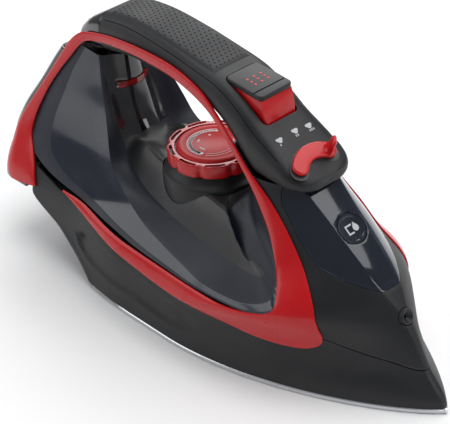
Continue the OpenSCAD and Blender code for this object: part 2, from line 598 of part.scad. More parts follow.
// ---- Rear cap with the cord inlet -----------------------------------------------------
drum_l = 18;
drum_at = at(255, 0, 137.5);
module rear_cap() {
    color([0.06, 0.06, 0.07])
    difference() {
        loft([for (b = [grip_end + gap, 246, 251, 256, 261, 265, 268]) grip_ring(b, 0)]);
        translate(drum_at) rotate([90, 0, 0]) cylinder(h = drum_l + 0.6, r = drum_r + running, center = true);
        translate([drum_at.x - 30, -slot_w / 2, drum_at.z - slot_w / 2 - 2]) cube([30, slot_w, slot_w + 4]);
        translate(drum_at) rotate([0, 90, 0]) cylinder(h = 30, r = cord_hole_r);
    }
}
slot_w = 2 * cord_hole_r + 3;
module inlet_drum() {
    color("dimgray")
    translate(drum_at)
        difference() {
            rotate([90, 0, 0]) cylinder(h = drum_l, r = drum_r, center = true);
            rotate([0, 90, 0]) cylinder(h = 4 * drum_r, r = cord_hole_r, center = true);
        }
}
module terminal_block() {
    color("ivory")
    translate([half_l - 234 * kx, -7, (lookup(218, GRIP_BOTTOM) + 0.4) * kz + wall]) cube([16, 14, 8]);
}

// ---- Pilot lamp -----------------------------------------------------------------------
// The lens is a strip across the rear wall of the hand opening, with the lamp behind it
lens_at = at(233, 0, 110.5);
lens_l = 22;
lens_h = 3.4;
lens_rise = 0.7;
lens_curve = 16.4;
lamp_r = 2.5;
lamp_l = 6;
module lens_slot(clearance) {
    translate([lens_at.x - 10, -lens_l / 2 - clearance, lens_at.z - lens_h / 2 - clearance])
        cube([20, lens_l + 2 * clearance, lens_h + 2 * clearance]);
}
module pilot_lens() {
    turn = asin(lens_l / 2 / (lens_curve + lens_rise));
    color("darkred")
    translate([lens_at.x - lens_curve, 0, lens_at.z - lens_h / 2]) rotate([0, 0, -turn])
        rotate_extrude(angle = 2 * turn) translate([lens_curve - wall, 0]) square([wall + lens_rise, lens_h]);
}
module pilot_lamp() {
    color("orange")
    translate([lens_at.x - wall - lamp_l - 1, 0, lens_at.z]) rotate([0, 90, 0])
        cylinder(h = lamp_l, r = lamp_r);
}

// ---- Spray button and pump --------------------------------------------------------------
button_cap_t = 3;
button_drop = 14;
// The body's front face leans forward and hangs lower than the rest
button_lean = 4.8;
button_apron = 2.4;
module rounded_plate(l, w, h, r) {
    hull() for (x = [-1, 1], y = [-1, 1])
        translate([x * (l / 2 - r), y * (w / 2 - r), 0]) cylinder(h = h, r = r, $fn = 32);
}
module button_cap() {
    color([0.08, 0.08, 0.09])
    button_frame() translate([0, 0, -button_cap_t]) rounded_plate(button_l, button_w, button_cap_t, 3);
}
module button_body() {
    color("red")
    button_frame()
        intersection() {
            rotate([90, 0, 0]) linear_extrude(button_w, center = true)
                polygon([[-button_l / 2, -button_cap_t], [button_l / 2 - 0.6, -button_cap_t],
                    [button_l / 2 - 0.6 + button_lean, -button_drop - button_apron],
                    [button_l / 2 + 0.5, -button_drop - button_apron], [button_l / 2 - 1.2, -button_drop],
                    [-button_l / 2, -button_drop]]);
            translate([button_lean / 2, 0, -button_drop - button_apron - 1])
                rounded_plate(button_l - 1.2 + button_lean, button_w - 1.2, button_drop + button_apron + 1, 2.5);
        }
}
module pump_piston() {
    color("white")
    button_frame() translate([pump_x, 0, -button_drop - piston_l]) cylinder(h = piston_l, r = piston_r);
}
pump_wall = 2;
pump_l = 8.5;
pump_x = 5;
piston_l = 7.5;
pump_top = button_drop + button_travel + 0.6;
module pump_body() {
    color("ghostwhite")
    button_frame()
        difference() {
            union() {
                translate([pump_x, 0, -pump_top - pump_l]) cylinder(h = pump_l, r = piston_r + pump_wall);
                translate([pump_x - 4, -(lookup(button_back, GRIP_WIDE) - 1) * ky + wall, -pump_top - 2])
                    cube([8, 2 * ((lookup(button_back, GRIP_WIDE) - 1) * ky - wall), 2]);
            }
            translate([pump_x, 0, -pump_top - pump_l + 1]) cylinder(h = pump_l + 1, r = piston_r + running);
        }
}

// ---- Steam slider and valve --------------------------------------------------------------
module steam_slider() {
    color("red")
    panel_frame() translate([0, 0, slider_lift]) {
        arc_plate(slider_arc_r, slider_w, arc_tail, tab_angle, slider_plate_t);
        on_arc(tab_angle) hull() {
            translate([0, 0, slider_plate_t - 0.5]) cylinder(h = 0.5, r = slider_w / 2 - 0.5, $fn = 32);
            translate([1, 0, slider_plate_t + tab_h - 1]) cylinder(h = 1, r = slider_w / 3, $fn = 32);
        }
    }
}
// The keeper holds the slider down from inside the handle
keeper_t = 1.2;
keeper_z = -(wall + 0.4 + keeper_t);
module slider_keeper() {
    color("silver")
    panel_frame() on_arc(tab_angle) {
        translate([0, 0, keeper_z + keeper_t]) cylinder(h = slider_lift - keeper_z - keeper_t, r = post_r);
        translate([0, 0, keeper_z]) cylinder(h = keeper_t, r = 2 * post_r);
    }
}
// The valve plate lies under the keeper, on a pillar from the handle's floor
valve_t = 1.5;
valve_w = slider_w - 3;
valve_top = keeper_z - gap;
module valve_plate() {
    pillar_angle = tab_angle - slider_turn / 2;
    across = slider_arc_r * cos(pillar_angle);
    pillar_x = slider_x - across * cos(panel_slope) + valve_top * sin(panel_slope);
    pillar_z = (lookup(slider_back, GRIP_BOTTOM) + 0.3) * kz + wall;
    pillar_top = panel_z + across * sin(panel_slope) + (valve_top - 0.75 * valve_t) * cos(panel_slope);
    color("whitesmoke")
    difference() {
        union() {
            panel_frame() translate([0, 0, valve_top - valve_t])
                arc_plate(slider_arc_r, valve_w, tab_angle - slider_turn, tab_angle, valve_t);
            translate([pillar_x, slider_left + slider_arc_r * sin(pillar_angle), pillar_z])
                cylinder(h = pillar_top - pillar_z, r = 1.3);
        }
        panel_frame() on_arc(tab_angle - slider_turn) translate([0, 0, valve_top - 2 * valve_t])
            cylinder(h = 3 * valve_t, r = 1);
    }
}

soleplate();
heater_block();
heating_element();
chamber_cover();
thermostat();
thermal_fuse();
lower_skirt();
nose_shell();
tank_window();
filler_cap();
tank_shell();
tank_base();
heel_shell();
heel_base();
trim_right();
trim_left();
handle_shell();
grip_pad();
rear_cap();
inlet_drum();
terminal_block();
dial_boss();
dial_ring();
dial_disc();
dial_shaft();
pilot_lens();
pilot_lamp();
button_body();
button_cap();
pump_piston();
pump_body();
spray_nozzle();
steam_slider();
slider_keeper();
valve_plate();
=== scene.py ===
# Looks for a household steam iron: moulded shells, see-through tank, dial, button and slider,
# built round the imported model. Metres, +X to the toe, +Y to the iron's left, +Z up.
import bpy
import bmesh
import math
from mathutils import Matrix, Vector


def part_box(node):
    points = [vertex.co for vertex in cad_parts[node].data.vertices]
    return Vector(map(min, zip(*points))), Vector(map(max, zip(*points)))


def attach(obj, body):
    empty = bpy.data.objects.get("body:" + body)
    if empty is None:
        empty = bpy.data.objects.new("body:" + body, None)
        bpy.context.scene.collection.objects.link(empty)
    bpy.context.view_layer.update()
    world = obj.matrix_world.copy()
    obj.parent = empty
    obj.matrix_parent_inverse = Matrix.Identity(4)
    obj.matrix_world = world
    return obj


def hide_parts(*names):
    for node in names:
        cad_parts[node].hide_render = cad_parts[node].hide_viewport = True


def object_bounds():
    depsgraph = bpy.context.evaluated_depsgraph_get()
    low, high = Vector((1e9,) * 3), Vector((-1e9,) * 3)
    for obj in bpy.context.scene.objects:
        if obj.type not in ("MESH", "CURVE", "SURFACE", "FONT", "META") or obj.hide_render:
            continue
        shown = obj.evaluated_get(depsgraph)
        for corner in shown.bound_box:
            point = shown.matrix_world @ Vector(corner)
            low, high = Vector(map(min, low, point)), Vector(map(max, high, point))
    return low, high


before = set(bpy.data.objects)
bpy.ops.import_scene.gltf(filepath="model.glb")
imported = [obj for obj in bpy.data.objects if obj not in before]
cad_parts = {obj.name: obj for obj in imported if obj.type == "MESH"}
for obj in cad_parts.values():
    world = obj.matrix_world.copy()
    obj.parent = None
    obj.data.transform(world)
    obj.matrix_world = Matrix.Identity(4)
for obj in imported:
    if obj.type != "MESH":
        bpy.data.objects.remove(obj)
cad_low, cad_high = [Vector(c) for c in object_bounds()]
LENGTH, WIDTH, HEIGHT = cad_high - cad_low
MM = 0.001
# The profiles are drawn in millimetres for an iron of this length, width and height.
DRAWN_LENGTH, DRAWN_WIDTH, DRAWN_HEIGHT = 312, 118, 160
SHELL_WALL, NOSE_WALL, TRIM_WALL, GRIP_WALL, PAD_WALL = 2.2, 1.2, 1.4, 2.3, 0.6
TRIM_PROUD = 1.6  # how far the trim's crown stands off the body
DIAL_RADIUS, LOBES, NOTCH_DEPTH = 25.6, 9, 1.5
SEAM_RADIUS = 0.26
ARC_RADIUS = 15.5  # the steam slider's path, about the panel's own centre
VENTS, FIRST_VENT, VENT_PITCH = 7, 30, 17
SOLE_WIDE, SOLE_TAIL, SOLE_REAR, SOLE_NOSE, SOLE_CORNER = 59, 232, 54, 150, 16
KX, KY, KZ = LENGTH / DRAWN_LENGTH, WIDTH / DRAWN_WIDTH, HEIGHT / DRAWN_HEIGHT


def at(back, left, up):
    """A point from its distance back from the toe, to the left and up."""
    return Vector((cad_high.x - back * KX, left * KY, up * KZ))


# ---- profiles and curves
def profile(points):
    """A smooth curve through the points that never swings past them."""
    xs = [p[0] for p in points]
    ys = [p[1] for p in points]
    n = len(xs)
    d = [(ys[i + 1] - ys[i]) / (xs[i + 1] - xs[i]) for i in range(n - 1)]
    m = [d[0]] + [0 if d[i - 1] * d[i] <= 0 else 2 * d[i - 1] * d[i] / (d[i - 1] + d[i])
                  for i in range(1, n - 1)] + [d[-1]]

    def value(x):
        if x <= xs[0]:
            return ys[0]
        if x >= xs[-1]:
            return ys[-1]
        i = max(k for k in range(n - 1) if xs[k] <= x)
        h = xs[i + 1] - xs[i]
        t = (x - xs[i]) / h
        return ((1 + 2 * t) * (1 - t) ** 2 * ys[i] + t * (1 - t) ** 2 * h * m[i]
                + t * t * (3 - 2 * t) * ys[i + 1] + t * t * (t - 1) * h * m[i + 1])
    return value


QUARTER = [math.radians(7.5 * k) for k in range(13)]


def smooth(s):
    t = min(max(s, 0), 1)
    return t * t * (3 - 2 * t)


def along(points, s):
    """A point on the smooth curve through the points, with s from 0 to 1."""
    p = [Vector(q) for q in points]
    s = min(max(s, 0), 1) * (len(p) - 1)
    k = min(int(s), len(p) - 2)
    t = s - k
    a, b, c, d = p[max(k - 1, 0)], p[k], p[k + 1], p[min(k + 2, len(p) - 1)]
    return 0.5 * (2 * b + (c - a) * t + (2 * a - 5 * b + 4 * c - d) * t * t + (3 * b - a - 3 * c + d) * t ** 3)


def spread(a, b, n):
    """Evenly spaced values from a to b."""
    return [a + (b - a) * i / (n - 1) for i in range(n)]


# Across the body, in millimetres back from the toe, left and up: the front edge, the half widths,
# the rear edges, the joints between the shells, and the grip's section.
toe = profile([(0, 0), (7, 2), (21, 13), (35, 21), (50, 30), (58, 36), (68, 46), (86, 67), (104, 88), (112, 97)])
flat_front = profile([(0, 1), (50, 2.5), (58, 5), (68, 8), (86, 9.5), (104, 12), (112, 14)])
nose_reach = profile([(0, 150), (30, 138), (44, 90), (57, 58), (70, 47), (84, 32), (99, 28), (112, 28)])
full_width = profile([(0, 59), (30, 58.5), (46, 54), (57, 43), (70, 33), (84, 27), (99, 23), (121, 20.5), (160, 19)])
rear_width = profile([(0, 54), (35, 50), (46, 48), (56, 44), (68, 38), (84, 32), (108, 25), (130, 20), (142, 18),
                      (160, 17)])
skirt_tail = profile([(0, 232), (4.6, 235), (15.7, 245.3), (30.4, 267), (39, 281), (60, 281)])
skirt_corner = profile([(0, 16), (28, 16), (40, 4), (60, 4)])
heel_tail = profile([(35, 308), (41, 312), (50, 312), (60, 311), (72, 308), (84, 301.5), (105, 288),
                     (120, 279), (130, 272), (140, 266), (150, 252)])
skirt_top = profile([(0, 21.5), (14, 22), (27, 26), (45, 31), (60, 36), (80, 40), (95, 41.3), (126, 41.2),
                     (150, 42), (173, 43), (205, 45.3), (234, 47.8), (252, 49.6), (264, 52), (281, 56)])
opening_front = profile([(30, 80), (46, 79), (50, 76.5), (56, 76.5), (68, 84.5), (81, 94.5), (90, 103),
                         (100, 112.5), (110, 123), (119, 132)])
heel_front = profile([(38, 284), (50, 284), (56, 285), (62, 288), (72, 293), (81, 293), (98, 285), (116, 275),
                      (128, 267)])
grip_top = profile([(81.5, 112.5), (90, 118), (107, 128.3), (119, 135.8), (128, 142.2), (146, 150.5), (165, 153.8),
                    (190, 157.8), (215, 160), (238, 157.5), (250, 152), (258, 146), (264, 139), (268, 133)])
grip_bottom = profile([(81.5, 106.4), (116, 106.4), (122, 110), (134, 119.4), (145, 127), (157, 131.5), (168, 133.5),
                       (190, 134.5), (215, 134.5), (240, 131), (262, 128), (270, 128)])
grip_wide = profile([(81.5, 6), (82.5, 12), (85, 17), (90, 20.3), (96, 21.6), (120, 21.2), (134, 20.3), (160, 19.5),
                     (240, 18.2), (258, 16.5), (268, 11)])


def nose_rise(t):
    """How far the body has widened, from 0 at the toe to 1."""
    return (1 - (1 - min(max(t, 0), 1)) ** 1.8) ** 0.85


def side(back, up):
    """Half width of the moulded body at a distance back from the toe and a height."""
    low = flat_front(up)
    front = low + (full_width(up) - low) * nose_rise((back - toe(up)) / nose_reach(up))
    s = smooth((back - 190) / 60)
    return front * (1 - s) + rear_width(up) * s


# ---- shader groups
def group(name, inputs, outputs):
    g = bpy.data.node_groups.new(name, "ShaderNodeTree")
    for label, kind, value in inputs:
        s = g.interface.new_socket(name=label, in_out="INPUT", socket_type=kind)
        s.default_value = value
    for label, kind in outputs:
        g.interface.new_socket(name=label, in_out="OUTPUT", socket_type=kind)
    g.nodes.new("NodeGroupInput")
    g.nodes.new("NodeGroupOutput")
    return g


def node(tree, kind, **values):
    """A node with its settings and the values of its inputs, a link where a value is a socket."""
    n = tree.nodes.new(kind)
    for key, v in values.items():
        if hasattr(n, key) and key not in n.inputs:
            setattr(n, key, v)
            continue
        s = n.inputs[int(key[1:])] if key[0] == "i" and key[1:].isdigit() else n.inputs[key.replace("_", " ")]
        if isinstance(v, bpy.types.NodeSocket):
            tree.links.new(v, s)
        else:
            s.default_value = v
    return n


def maths(g, operation, *inputs, clamp=False):
    """The result of an arithmetic node, from sockets or plain numbers."""
    values = {f"i{k}": v for k, v in enumerate(inputs)}
    return node(g, "ShaderNodeMath", operation=operation, **values, use_clamp=clamp).outputs[0]


def ends(g):
    return g.nodes["Group Input"].outputs, g.nodes["Group Output"].inputs


def moulded_grain():
    """Fine spark-eroded mould texture, with slow changes of sheen over a moulding."""
    g = group("moulded_grain",
              [("Scale", "NodeSocketFloat", 2200.0), ("Roughness", "NodeSocketFloat", 0.4),
               ("Spread", "NodeSocketFloat", 0.06)],
              [("Height", "NodeSocketFloat"), ("Roughness", "NodeSocketFloat")])
    i, o = ends(g)
    place = node(g, "ShaderNodeTexCoord").outputs["Object"]
    fine = node(g, "ShaderNodeTexNoise", Vector=place, Scale=i["Scale"], Detail=3.0)
    pits = node(g, "ShaderNodeTexVoronoi", Vector=place, Scale=i["Scale"])
    height = maths(g, "MULTIPLY_ADD", pits.outputs["Distance"], 0.6, fine.outputs[0])
    slow = node(g, "ShaderNodeTexNoise", Vector=place, Scale=38.0, Detail=4.0)
    swing = maths(g, "SUBTRACT", slow.outputs[0], 0.5)
    change = maths(g, "MULTIPLY", swing, i["Spread"])
    rough = maths(g, "MULTIPLY_ADD", change, 4.0, i["Roughness"], clamp=True)
    g.links.new(height, o["Height"])
    g.links.new(rough, o["Roughness"])
    return g


def edge_wear():
    """Lightens the edges that hands and cloth rub, broken up by noise."""
    g = group("edge_wear",
              [("Color", "NodeSocketColor", (0.1, 0.1, 0.1, 1)), ("Worn", "NodeSocketColor", (0.3, 0.3, 0.3, 1)),
               ("Amount", "NodeSocketFloat", 0.4)],
              [("Color", "NodeSocketColor"), ("Mask", "NodeSocketFloat")])
    i, o = ends(g)
    sharp = node(g, "ShaderNodeNewGeometry").outputs["Pointiness"]
    ramp = node(g, "ShaderNodeMapRange", Value=sharp, **{"From Min": 0.52, "From Max": 0.62})
    place = node(g, "ShaderNodeTexCoord").outputs["Object"]
    patch = node(g, "ShaderNodeTexNoise", Vector=place, Scale=210.0, Detail=5.0)
    broken = maths(g, "MULTIPLY", ramp.outputs[0], patch.outputs[0], clamp=True)
    mask = maths(g, "MULTIPLY", broken, i["Amount"], clamp=True)
    mix = node(g, "ShaderNodeMix", data_type="RGBA", i0=mask, i6=i["Color"], i7=i["Worn"])
    g.links.new(mix.outputs[2], o["Color"])
    g.links.new(mask, o["Mask"])
    return g


def handling():
    """Faint smudges from hands and settled dust, as a lighter colour and a duller finish."""
    g = group("handling",
              [("Color", "NodeSocketColor", (0.1, 0.1, 0.1, 1)), ("Roughness", "NodeSocketFloat", 0.2),
               ("Amount", "NodeSocketFloat", 0.3)],
              [("Color", "NodeSocketColor"), ("Roughness", "NodeSocketFloat")])
    i, o = ends(g)
    place = node(g, "ShaderNodeTexCoord").outputs["Object"]
    smear = node(g, "ShaderNodeTexNoise", Vector=place, Scale=24.0, Detail=6.0, Distortion=0.8)
    band = node(g, "ShaderNodeMapRange", Value=smear.outputs[0], **{"From Min": 0.48, "From Max": 0.72})
    mask = maths(g, "MULTIPLY", band.outputs[0], i["Amount"], clamp=True)
    tone = maths(g, "MULTIPLY", mask, 0.08)
    mix = node(g, "ShaderNodeMix", data_type="RGBA", i0=tone, i6=i["Color"], i7=(0.5, 0.5, 0.5, 1))
    rough = maths(g, "MULTIPLY_ADD", mask, 0.18, i["Roughness"], clamp=True)
    g.links.new(mix.outputs[2], o["Color"])
    g.links.new(rough, o["Roughness"])
    return g


GRAIN, WEAR, HANDLING = moulded_grain(), edge_wear(), handling()


def use(tree, g, **values):
    n = tree.nodes.new("ShaderNodeGroup")
    n.node_tree = g
    for key, v in values.items():
        if isinstance(v, bpy.types.NodeSocket):
            tree.links.new(v, n.inputs[key])
        else:
            n.inputs[key].default_value = v
    return n


def finish(name, colour, rough, worn=None, grain=1500.0, bump=0.0, depth=0.00002, amount=0.4, smears=0.3, spread=0.05,
           **shader):
    """A moulded or metal finish: grain, worn edges and handling over one Principled shader."""
    m = bpy.data.materials.new(name)
    m.use_nodes = True
    t = m.node_tree
    bsdf = t.nodes["Principled BSDF"]
    colour = tuple(colour) + (1,)
    worn = tuple(worn) + (1,) if worn else tuple(min(1, c * 1.7 + 0.03) for c in colour[:3]) + (1,)
    texture = use(t, GRAIN, Scale=grain, Roughness=rough, Spread=spread)
    edge = use(t, WEAR, Color=colour, Worn=worn, Amount=amount)
    marks = use(t, HANDLING, Color=edge.outputs["Color"], Roughness=texture.outputs["Roughness"], Amount=smears)
    t.links.new(marks.outputs["Color"], bsdf.inputs["Base Color"])
    t.links.new(marks.outputs["Roughness"], bsdf.inputs["Roughness"])
    if bump:
        b = node(t, "ShaderNodeBump", Strength=bump, Distance=depth, Height=texture.outputs["Height"])
        t.links.new(b.outputs[0], bsdf.inputs["Normal"])
    for key, v in shader.items():
        bsdf.inputs[key.replace("_", " ")].default_value = v
    return m


black_satin = finish("black_satin", (0.010, 0.0105, 0.012), 0.46, bump=0.3, depth=0.00003, smears=0.2,
                     Specular_IOR_Level=0.36)
grip_black = finish("grip_black", (0.009, 0.0095, 0.011), 0.55, bump=0.4, depth=0.00004, smears=0.2,
                    Specular_IOR_Level=0.36)
dot_black = finish("dot_black", (0.002, 0.002, 0.0025), 0.7, smears=0.0, amount=0.0, Specular_IOR_Level=0.15)
black_gloss = finish("black_gloss", (0.008, 0.008, 0.010), 0.10, smears=0.35, Coat_Weight=0.6, Coat_Roughness=0.04)
navy_satin = finish("navy_satin", (0.010, 0.013, 0.022), 0.42, bump=0.15, smears=0.2, Specular_IOR_Level=0.36)
navy_gloss = finish("navy_gloss", (0.010, 0.014, 0.025), 0.14, smears=0.25, Coat_Weight=0.35, Coat_Roughness=0.06)
deck_black = finish("deck_black", (0.019, 0.0195, 0.021), 0.40, bump=0.1, smears=0.2, Specular_IOR_Level=0.5)
red_gloss = finish("red_gloss", (0.50, 0.004, 0.007), 0.26, worn=(0.62, 0.03, 0.03), smears=0.2, amount=0.2,
                   Specular_IOR_Level=0.32, Coat_Weight=0.2, Coat_Roughness=0.1)
red_satin = finish("red_satin", (0.56, 0.005, 0.008), 0.40, worn=(0.66, 0.03, 0.03), bump=0.08, amount=0.2, smears=0.2,
                   Specular_IOR_Level=0.28)
printed_white = finish("printed_white", (0.72, 0.70, 0.69), 0.45, grain=2600.0, bump=0.1, smears=0.5)
printed_grey = finish("printed_grey", (0.42, 0.43, 0.45), 0.45, grain=2600.0, bump=0.1, smears=0.5)
ceramic = finish("ceramic_white", (0.78, 0.74, 0.66), 0.6, bump=0.2, grain=900.0)
nylon = finish("nylon_white", (0.75, 0.73, 0.66), 0.4, bump=0.1, Subsurface_Weight=0.1, Subsurface_Scale=0.002)
lens_red = finish("lens_red", (0.30, 0.006, 0.006), 0.12, smears=0.2, Transmission_Weight=0.45, IOR=1.49)
lamp_glass = finish("lamp_amber", (0.9, 0.45, 0.15), 0.05, smears=0.1, Transmission_Weight=0.9, IOR=1.5)
smoky = finish("smoky_tank", (0.045, 0.06, 0.10), 0.06, smears=0.25, Transmission_Weight=0.82, IOR=1.42,
               Coat_Weight=0.5, Coat_Roughness=0.03)
cast_alloy = finish("cast_alloy", (0.50, 0.51, 0.52), 0.45, worn=(0.7, 0.7, 0.7), bump=0.5, grain=700.0, depth=0.0001,
                    Metallic=1.0)
element_steel = finish("element_steel", (0.22, 0.20, 0.19), 0.38, bump=0.2, grain=1200.0, Metallic=1.0)


def ground_steel():
    """The soleplate: fine grinding lines along its length, brighter on its worn edge."""
    m = finish("metal_sole", (0.62, 0.63, 0.65), 0.26, worn=(0.85, 0.85, 0.86), smears=0.4, Metallic=1.0)
    t = m.node_tree
    place = node(t, "ShaderNodeTexCoord").outputs["Object"]
    stretch = node(t, "ShaderNodeMapping", Vector=place, Scale=(30.0, 2600.0, 2600.0))
    lines = node(t, "ShaderNodeTexNoise", Vector=stretch.outputs[0], Scale=1.0, Detail=4.0)
    b = node(t, "ShaderNodeBump", Strength=0.18, Distance=0.00003, Height=lines.outputs[0])
    t.links.new(b.outputs[0], t.nodes["Principled BSDF"].inputs["Normal"])
    return m


metal_sole = ground_steel()


# ---- mesh helpers
def close_up(me, angle=38):
    """Joins doubled points, drops empty faces and turns every face outwards."""
    bm = bmesh.new()
    bm.from_mesh(me)
    bmesh.ops.remove_doubles(bm, verts=bm.verts, dist=1e-7)
    bmesh.ops.dissolve_degenerate(bm, dist=1e-7, edges=bm.edges)
    bmesh.ops.recalc_face_normals(bm, faces=bm.faces)
    bm.to_mesh(me)
    bm.free()
    me.shade_smooth()
    me.set_sharp_from_angle(angle=math.radians(angle))


def linked(name, verts, faces, materials):
    """An object in the scene with a plain mesh and its material, or list of materials."""
    me = bpy.data.meshes.new(name)
    me.from_pydata([tuple(v) for v in verts], [], faces)
    o = bpy.data.objects.new(name, me)
    bpy.context.collection.objects.link(o)
    for m in materials if isinstance(materials, list) else [materials]:
        me.materials.append(m)
    return o


def piece(name, verts, faces, materials, angle=38):
    o = linked(name, verts, faces, materials)
    close_up(o.data, angle)
    return o


def bake(o, angle=38):
    """Applies the object's modifiers to its mesh."""
    deps = bpy.context.evaluated_depsgraph_get()
    me = bpy.data.meshes.new_from_object(o.evaluated_get(deps), preserve_all_data_layers=True, depsgraph=deps)
    o.modifiers.clear()
    o.data = me
    me.shade_smooth()
    me.set_sharp_from_angle(angle=math.radians(angle))
    return o


def sheet(name, grid, thick, materials, slots=None, wrap=False, soften=0.35, angle=38, facing=None):
    """A moulded wall from a grid of points on its outer face, with softened edges.
    The outer face looks at the point facing, or away from the middle of each row."""
    rows, cols = len(grid), len(grid[0])
    last = cols if wrap else cols - 1
    faces, picks = [], []
    for r in range(rows - 1):
        for c in range(last):
            d = (c + 1) % cols
            faces.append([r * cols + c, (r + 1) * cols + c, (r + 1) * cols + d, r * cols + d])
            picks.append(slots(r, c) if slots else 0)
    points, looks_out = [p for row in grid for p in row], 0.0
    middles = [sum(row, Vector()) / cols for row in grid]
    for k, f in enumerate(faces):
        a, b, c, d = [points[i] for i in f]
        middle = (a + b + c + d) / 4
        aim = Vector(facing) - middle if facing else middle - middles[k // last]
        looks_out += (c - a).cross(d - b).dot(aim)
    if looks_out < 0:
        faces = [f[::-1] for f in faces]
    o = linked(name, points, faces, materials)
    o.data.polygons.foreach_set("material_index", picks)
    s = o.modifiers.new("wall", "SOLIDIFY")
    s.thickness = thick * MM
    s.offset = -1
    s.use_quality_normals = True
    if soften:
        soft(o, soften)
    bake(o)
    close_up(o.data, angle)
    return o


def soft(o, width, angle=40, segments=2):
    """Rounds the edges that are sharper than the angle, by a width in millimetres."""
    b = o.modifiers.new("soft", "BEVEL")
    b.width = width * MM
    b.segments = segments
    b.limit_method = "ANGLE"
    b.angle_limit = math.radians(angle)
    b.harden_normals = False
    return o


def cut(o, tool, operation="DIFFERENCE"):
    """Takes the tool's shape out of the piece, or keeps only what they share."""
    m = o.modifiers.new("cut", "BOOLEAN")
    m.operation = operation
    m.object = tool
    m.solver = "EXACT"
    bake(o)
    bpy.data.objects.remove(tool)
    return o


def prism(name, outline, low, high, place=Matrix(), material=None):
    """A solid with the outline in its own XY plane, from low to high, in millimetres."""
    n = len(outline)
    verts = [place @ Vector((x * MM, y * MM, z * MM)) for z in (low, high) for x, y in outline]
    faces = [list(range(n))[::-1], list(range(n, 2 * n))]
    faces += [[i, (i + 1) % n, n + (i + 1) % n, n + i] for i in range(n)]
    return piece(name, verts, faces, material or black_satin)


def turned(name, outline, place=Matrix(), material=None, steps=96, angle=38):
    """A solid of revolution from (radius, height) pairs in millimetres, closed on its axis or on itself."""
    closed = outline[0][0] > 0 and outline[-1][0] > 0
    loop = outline + ([outline[0]] if closed else [])
    verts = [place @ Vector((r * MM * math.cos(a), r * MM * math.sin(a), z * MM))
             for a in [2 * math.pi * k / steps for k in range(steps)] for r, z in loop]
    m = len(loop)
    faces = [[k * m + i, ((k + 1) % steps) * m + i, ((k + 1) % steps) * m + i + 1, k * m + i + 1]
             for k in range(steps) for i in range(m - 1)]
    return piece(name, verts, faces, material or black_satin, angle=angle)


def circle(r, n=64, x=0.0, y=0.0):
    return [(x + r * math.cos(2 * math.pi * i / n), y + r * math.sin(2 * math.pi * i / n)) for i in range(n)]


def joined(name, parts):
    """Joins pieces into the first one's mesh."""
    bm = bmesh.new()
    mats = []
    for p in parts:
        me = p.data
        base = len(mats)
        mats += list(me.materials)
        part = bmesh.new()
        part.from_mesh(me)
        for f in part.faces:
            f.material_index += base
        copy = bpy.data.meshes.new("copy")
        part.to_mesh(copy)
        part.free()
        bm.from_mesh(copy)
        bpy.data.meshes.remove(copy)
    me = bpy.data.meshes.new(name)
    bm.to_mesh(me)
    bm.free()
    for m in mats:
        me.materials.append(m)
    o = bpy.data.objects.new(name, me)
    bpy.context.collection.objects.link(o)
    for p in parts:
        bpy.data.objects.remove(p)
    return o


def give(o, body, slot, *nodes):
    """Hands a finished piece over: the body it rides and the nodes it stands for; the slot argument is not used."""
    if nodes:
        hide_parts(*nodes)
    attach(o, body)
    return o


# ---- camera, floor and lights
def set_camera(azimuth, elevation, roll, distance, lens):
    az, el, ro = math.radians(azimuth), math.radians(elevation), math.radians(roll)
    target = Vector((-0.0083, 0, 0.323 * HEIGHT))
    back = Vector((math.sin(az) * math.cos(el), -math.cos(az) * math.cos(el), math.sin(el)))
    flat = Vector((math.cos(az), math.sin(az), 0))
    up = back.cross(flat)
    right = flat * math.cos(ro) - up * math.sin(ro)
    up = up * math.cos(ro) + flat * math.sin(ro)
    data = bpy.data.cameras.new("camera")
    data.lens = lens
    data.sensor_width = 36
    data.sensor_fit = "HORIZONTAL"
    data.clip_start = 0.01
    o = bpy.data.objects.new("camera", data)
    o.matrix_world = Matrix.Translation(target + back * distance) @ Matrix((right, up, back)).transposed().to_4x4()
    bpy.context.collection.objects.link(o)
    bpy.context.scene.camera = o


def softbox(name, place, aim, size, power, colour=(1, 1, 1)):
    data = bpy.data.lights.new(name, "AREA")
    data.shape = "RECTANGLE"
    data.size, data.size_y = size
    data.energy = power
    data.color = colour
    o = bpy.data.objects.new(name, data)
    o.location = place
    o.rotation_euler = (Vector(aim) - Vector(place)).to_track_quat("-Z", "Y").to_euler()
    bpy.context.collection.objects.link(o)


def studio():
    bpy.context.scene.view_settings.view_transform = "Standard"
    floor = piece("studio_floor", [(-6, -6, 0), (6, -6, 0), (6, 6, 0), (-6, 6, 0)], [[0, 1, 2, 3]],
                  finish("studio_paper", (0.86, 0.86, 0.86), 0.7, amount=0.0, smears=0.0))
    world = bpy.data.worlds.new("studio_air")
    world.use_nodes = True
    world.node_tree.nodes["Background"].inputs[0].default_value = (0.93, 0.95, 1.0, 1)
    world.node_tree.nodes["Background"].inputs[1].default_value = 0.24
    bpy.context.scene.world = world
    softbox("top_light", (0.1, 0.5, 1.9), (0, 0, 0), (2.2, 2.2), 40)
    softbox("side_light", (-1.15, -0.95, 0.95), (-0.03, 0, 0.06), (1.7, 1.2), 10)
    softbox("rear_light", (-0.9, 0.9, 0.8), (0, 0, 0.08), (0.9, 0.4), 7)
    softbox("toe_light", (1.3, 0.45, 0.75), (0.05, 0, 0.05), (0.5, 0.8), 4)


